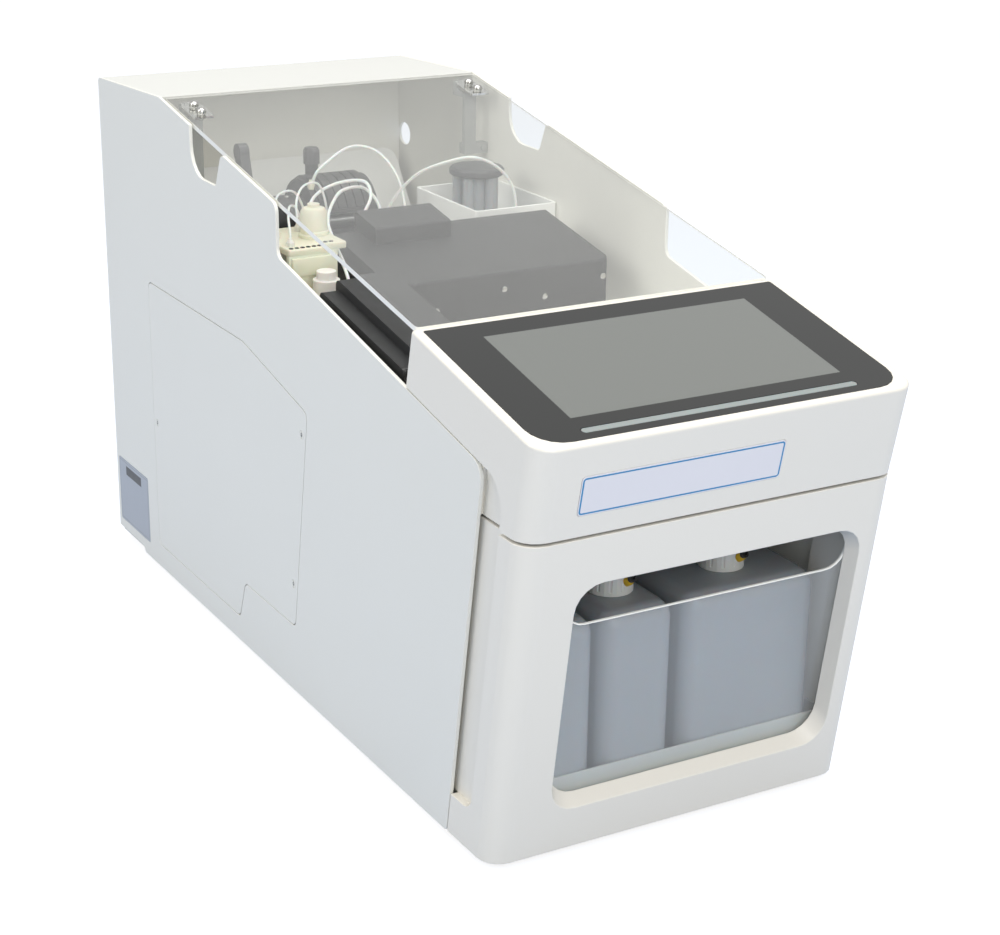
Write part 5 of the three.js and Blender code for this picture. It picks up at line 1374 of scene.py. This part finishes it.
@dataclass
class FluidBlock(SubAssembly):
    """The cream fluid block over the valves, with its ports, damper, nuts and loose tubes."""

    top: float = 377.0
    plate: Box = Box((-147.0, 355.0, 371.0), (-96.0, 430.0, 377.0), 1.4, 3)
    web: Box = Box((-147.0, 355.0, 338.2), (-104.0, 361.0, 372.0), 0.8)
    shelf: Box = Box((-145.0, 352.4, 355.0), (-107.0, 356.0, 370.0), 1.0)
    ports: int = 8
    ports_left: float = -143.0
    ports_right: float = -108.0
    ports_y: float = 359.5
    port: Profile = ((0, -0.4), (1.9, -0.4), (1.9, 0.5), (1.1, 0.5), (1.1, 0.1), (0, 0.1))
    port_steps: int = 14
    damper_foot: Point = (-109.0, 390.0, 376.6)
    damper: Profile = (
        (0, 0), (12.4, 0), (12.4, 3.0), (11.0, 4.0), (11.0, 19.0), (9.0, 22.0), (5, 23.0), (5, 25.4),
        (0, 25.4),
    )
    damper_steps: int = 36
    nut: Profile = ((0, -0.4), (3.6, -0.4), (3.6, 3.4), (2.6, 4.4), (1.8, 6.8), (0, 6.8))
    nut_sides: int = 6
    nut_angle: float = 25.0
    tube_radius: float = 1.0
    loops: Routes = (
        ("fluid_loop_a", (
            (-140, 368, 377.0), (-139, 370, 386), (-134, 384, 396), (-124, 404, 398), (-110, 424, 392),
            (-98, 440, 376), (-92, 448, 340), (-90, 450, 291.4),
        )),
        ("fluid_loop_b", (
            (-138, 400, 377.0), (-138, 402, 386), (-132, 416, 398), (-118, 436, 402), (-98, 452, 398),
            (-84, 464, 378), (-80, 468, 340), (-78, 470, 291.4),
        )),
        ("fluid_loop_c", (
            (-112, 414, 377.0), (-112, 416, 386), (-106, 430, 396), (-92, 446, 404), (-74, 456, 402),
            (-66, 458, 384), (-64, 458, 340), (-64, 458, 291.4),
        )),
    )

    def build(self, maker: Maker) -> None:
        """Adds the block and what it carries.

        Args:
            maker: What makes the pieces.
        """
        boxes = [box.build() for box in (self.plate, self.web, self.shelf)]
        maker.fit("fluid_block", joined(boxes), Coat.CREAM, Slot.CREAM)
        step = (self.ports_right - self.ports_left) / (self.ports - 1)
        places = [at(self.ports_left + step * i, self.ports_y, self.top) for i in range(self.ports)]
        ports = [lathe(self.port, place, UPRIGHT, self.port_steps) for place in places]
        maker.fit("fluid_ports", joined(ports), Coat.DARK_GREY, Slot.DARK_GREY)
        damper = lathe(self.damper, at(*self.damper_foot), UPRIGHT, self.damper_steps)
        maker.fit("fluid_damper", damper, Coat.CREAM, Slot.CREAM)
        seats = [at(*route[0][:2], self.top) for _, route in self.loops]
        nuts = [lathe(self.nut, seat, UPRIGHT, self.nut_sides) for seat in seats]
        maker.fit("fluid_nuts", joined(nuts), Coat.CAP, Slot.CAP_WHITE, angle=self.nut_angle)
        for name, route in self.loops:
            mesh = swept(through([at(*p) for p in route]), self.tube_radius, name)
            maker.add(name, mesh, Coat.TUBING, Slot.TUBING.value, Body.CHASSIS.value)


@dataclass
class Tubing(SubAssembly):
    """The white tubes between the modules, with their nuts and grommets."""

    radius: float = 1.4
    nut: Profile = ((0, 0), (3.3, 0), (3.3, 4.6), (2.5, 5.6), (1.9, 8.2), (0, 8.2))
    nut_drop: float = 2.0
    grommet: Profile = ((0, 0), (4.4, 0), (4.4, 1.0), (3.4, 2.0), (0, 2.0))
    grommet_drop: float = 1.2
    steps: int = 20
    routes: Routes = (
        ("tube_pump_feed", (
            (-38, 548, 378.0), (-34, 545, 391), (-21, 547, 400), (-2, 553, 408), (14, 556, 409),
            (30, 550, 403), (41, 532, 382), (43, 518, 345), (43, 508, 291.4),
        )),
        ("tube_manifold_link", (
            (-101, 336, 335), (-100, 345, 352), (-94, 380, 368), (-82, 420, 378), (-62, 452, 386),
            (-44, 470, 391), (-20, 478, 389), (-10, 470, 376), (-12, 458, 350), (-14, 452, 291.4),
        )),
        ("tube_valve_loop", (
            (-101, 411, 335), (-102, 418, 350), (-92, 440, 372), (-76, 466, 385), (-56, 482, 391),
            (-36, 484, 395), (-24, 468, 397), (-28, 448, 388), (-40, 440, 372), (-44, 436, 340),
            (-44, 434, 291.4),
        )),
        ("tube_sample_line", (
            (25, 530, 341.4), (29, 522, 362), (44, 500, 391), (64, 480, 404), (83, 471, 408),
            (101, 468, 402), (118, 468, 388), (127, 468, 370), (127, 468, 330), (127, 468, 294),
        )),
    )

    def build(self, maker: Maker) -> None:
        """Replaces each faceted tube by a round one on the same route, and adds its ends.

        Args:
            maker: What makes the pieces.
        """
        nuts = [self._end(self.nut, route[0], self.nut_drop) for _, route in self.routes]
        rims = [self._end(self.grommet, route[-1], self.grommet_drop) for _, route in self.routes]
        maker.fit("tube_nuts", joined(nuts), Coat.CREAM, Slot.CREAM)
        maker.fit("tube_grommets", joined(rims), Coat.RUBBER, Slot.RUBBER)
        for node, route in self.routes:
            points = through([at(*p) for p in route])
            mesh = swept(points, self.radius, node + "_round")
            piece = maker.add(node + "_round", mesh, Coat.TUBING, Slot.TUBING.value, Body.CHASSIS.value)
            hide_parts(node)

    def _end(self, profile: Profile, place: Point, drop: float) -> BMesh:
        """A fitting at one end of a tube, set lower than the end by a drop."""
        return lathe(profile, at(*place) - Vector((0, 0, drop * MM)), UPRIGHT, self.steps)


@dataclass
class RearServices(SubAssembly):
    """The fan, power inlet and switch on the rear panel, and its screws."""

    looks: tuple[Look, ...] = (
        Look(Coat.BLACK_PLASTIC, 0.3, ("fan_frame", "fan_rotor")),
        Look(Coat.BLACK_PLASTIC, 0.3, ("power_inlet", "switch_bezel", "rocker_switch")),
    )
    screw_rows: tuple[float, ...] = (-148.0, 148.0)
    screw_heights: tuple[float, ...] = (24.0, 150.0, 276.0, 402.0)
    screw_stand: float = 1.0
    screw_head: Profile = ((0, -0.4), (3.1, -0.4), (3.1, 0.3), (2.2, 1.2), (1.2, 1.4), (1.2, 0.8), (0, 0.8))
    screw_steps: int = 20

    def build(self, maker: Maker) -> None:
        """Dresses the rear fittings and seats the panel's screws.

        Args:
            maker: What makes the pieces.
        """
        self.show(maker)
        depth = BODY_DEPTH + self.screw_stand
        places = [at(x, depth, z) for x in self.screw_rows for z in self.screw_heights]
        heads = seated(self.screw_head, "rear_panel", places, self.screw_steps)
        maker.fit("rear_screws", heads, Coat.CHROME, Slot.STEEL)


# Studio


def seen_level(tree: NodeTree, rays: Node, levels: Sequence[float]) -> NodeSocket:
    """A level for what the camera sees, straight, through a clear sheet and in a gloss.

    Args:
        tree: The tree that gets the nodes.
        rays: Its Light Path node.
        levels: The level of camera, transmission and glossy rays.

    Returns:
        The socket with the greatest level that holds, or 0 for other rays.
    """
    kinds = ("Is Camera Ray", "Is Transmission Ray", "Is Glossy Ray")
    pairs = zip(kinds, levels)
    straight, past, mirrored = (math_node(tree, "MULTIPLY", rays.outputs[k], v) for k, v in pairs)
    return math_node(tree, "MAXIMUM", straight, math_node(tree, "MAXIMUM", past, mirrored))


@dataclass(frozen=True)
class Softbox:
    """A square lamp, with its place and side in metres and its power in watts."""

    name: str
    place: Point
    size: float
    power: float
    colour: Colour


@dataclass
class Studio:
    """Camera, floor and lights."""

    camera_body: Point = (-824.214, -1161.550, 790.975)
    azimuth: float = -29.9765
    elevation: float = 19.8262
    roll: float = 0.8017
    focal_pixels: float = 2119.384
    picture_pixels: float = 1000.0
    sensor: float = 36.0
    far_clip: float = 100.0
    floor_size: float = 40.0
    floor_tone: Colour = (0.31, 0.385, 0.53)
    floor_roughness: float = 0.9
    floor_glow: Colour = (1.0, 0.965, 0.90)
    floor_levels: tuple[float, float, float] = (0.83, 0.66, 0.55)
    world_level: float = 0.56
    world_levels: tuple[float, float, float] = (0.44, 0.30, 0.24)
    aim: Point = (0.0, 0.0, 0.25)
    softboxes: tuple[Softbox, ...] = (
        Softbox("key", (-0.4, -2.6, 1.75), 1.8, 40.0, (1.0, 0.98, 0.945)),
        Softbox("overhead", (0.3, 0.3, 2.8), 2.0, 34.0, (1.0, 0.995, 0.975)),
        Softbox("left fill", (-2.6, 0.2, 2.0), 1.6, 24.5, (1.0, 0.985, 0.945)),
    )

    def build_camera(self) -> None:
        """Sets the camera at the photograph's place and angle."""
        azimuth, elevation, roll = (math.radians(a) for a in (self.azimuth, self.elevation, self.roll))
        reach = math.cos(elevation)
        back = Vector((math.sin(azimuth) * reach, -math.cos(azimuth) * reach, math.sin(elevation)))
        level = (-back).cross(Vector((0, 0, 1))).normalized()
        above = level.cross(-back)
        right = level * math.cos(roll) + above * math.sin(roll)
        up = above * math.cos(roll) - level * math.sin(roll)
        place = at(*self.camera_body)
        data = bpy.data.cameras.new("photo camera")
        data.lens = self.focal_pixels / self.picture_pixels * self.sensor
        data.sensor_width = self.sensor
        data.clip_end = self.far_clip
        camera = bpy.data.objects.new("photo camera", data)
        columns = Matrix((right, up, back)).transposed()
        camera.matrix_world = Matrix.Translation(place) @ columns.to_4x4()
        bpy.context.scene.collection.objects.link(camera)
        bpy.context.scene.camera = camera

    def build_floor(self) -> None:
        """Lays the plain pale floor, which turns white to the camera away from the shadow."""
        bm = bmesh.new()
        bmesh.ops.create_grid(bm, x_segments=1, y_segments=1, size=self.floor_size / 2)
        mesh = bpy.data.meshes.new("floor")
        bm.to_mesh(mesh)
        bm.free()
        floor = bpy.data.objects.new("floor", mesh)
        bpy.context.scene.collection.objects.link(floor)
        material = bpy.data.materials.new("pale floor")
        material.use_nodes = True
        tree = material.node_tree
        shader = tree.nodes["Principled BSDF"]
        set_inputs(shader, {
            "Base Color": (*self.floor_tone, 1.0), "Roughness": self.floor_roughness,
            "Specular IOR Level": 0.0, "Emission Color": (*self.floor_glow, 1.0),
        })
        rays = tree.nodes.new("ShaderNodeLightPath")
        seen = seen_level(tree, rays, self.floor_levels)
        tree.links.new(seen, shader.inputs["Emission Strength"])
        mesh.materials.append(material)

    def build_world(self) -> None:
        """Sets the even pale surroundings."""
        world = bpy.data.worlds.new("studio")
        bpy.context.scene.world = world
        world.use_nodes = True
        tree = world.node_tree
        background = tree.nodes["Background"]
        background.inputs["Color"].default_value = (1.0, 1.0, 1.0, 1.0)
        rays = tree.nodes.new("ShaderNodeLightPath")
        level = math_node(tree, "ADD", self.world_level, seen_level(tree, rays, self.world_levels))
        tree.links.new(level, background.inputs["Strength"])

    def add_softbox(self, box: Softbox) -> None:
        """Hangs a softbox that faces the analyzer's middle.

        Args:
            box: The lamp to hang.
        """
        data = bpy.data.lights.new(box.name, "AREA")
        data.shape = "SQUARE"
        data.size = box.size
        data.energy = box.power
        data.color = box.colour
        lamp = bpy.data.objects.new(box.name, data)
        lamp.location = box.place
        toward = Vector(self.aim) - Vector(box.place)
        lamp.rotation_euler = toward.to_track_quat("-Z", "Y").to_euler()
        bpy.context.scene.collection.objects.link(lamp)

    def build(self) -> None:
        """Builds the studio."""
        self.build_camera()
        self.build_floor()
        self.build_world()
        for box in self.softboxes:
            self.add_softbox(box)
        bpy.context.scene.view_settings.view_transform = "Standard"
        LOG.info("studio is set")


def main() -> None:
    """Builds the whole scene and reports it."""
    logging.basicConfig(level=logging.INFO, format="%(name)s: %(message)s")
    Studio().build()
    maker = Maker()
    assemblies = (
        Housing(), DisplayHead(), ReagentDrawer(), Lid(), InstrumentBay(), FluidBlock(), Tubing(),
        RearServices(),
    )
    for part in assemblies:
        part.build(maker)
        LOG.info("%s is done", type(part).__name__)
    bpy.context.view_layer.update()
    LOG.info("%d pieces made", maker.made)


if __name__ == "__main__":
    main()
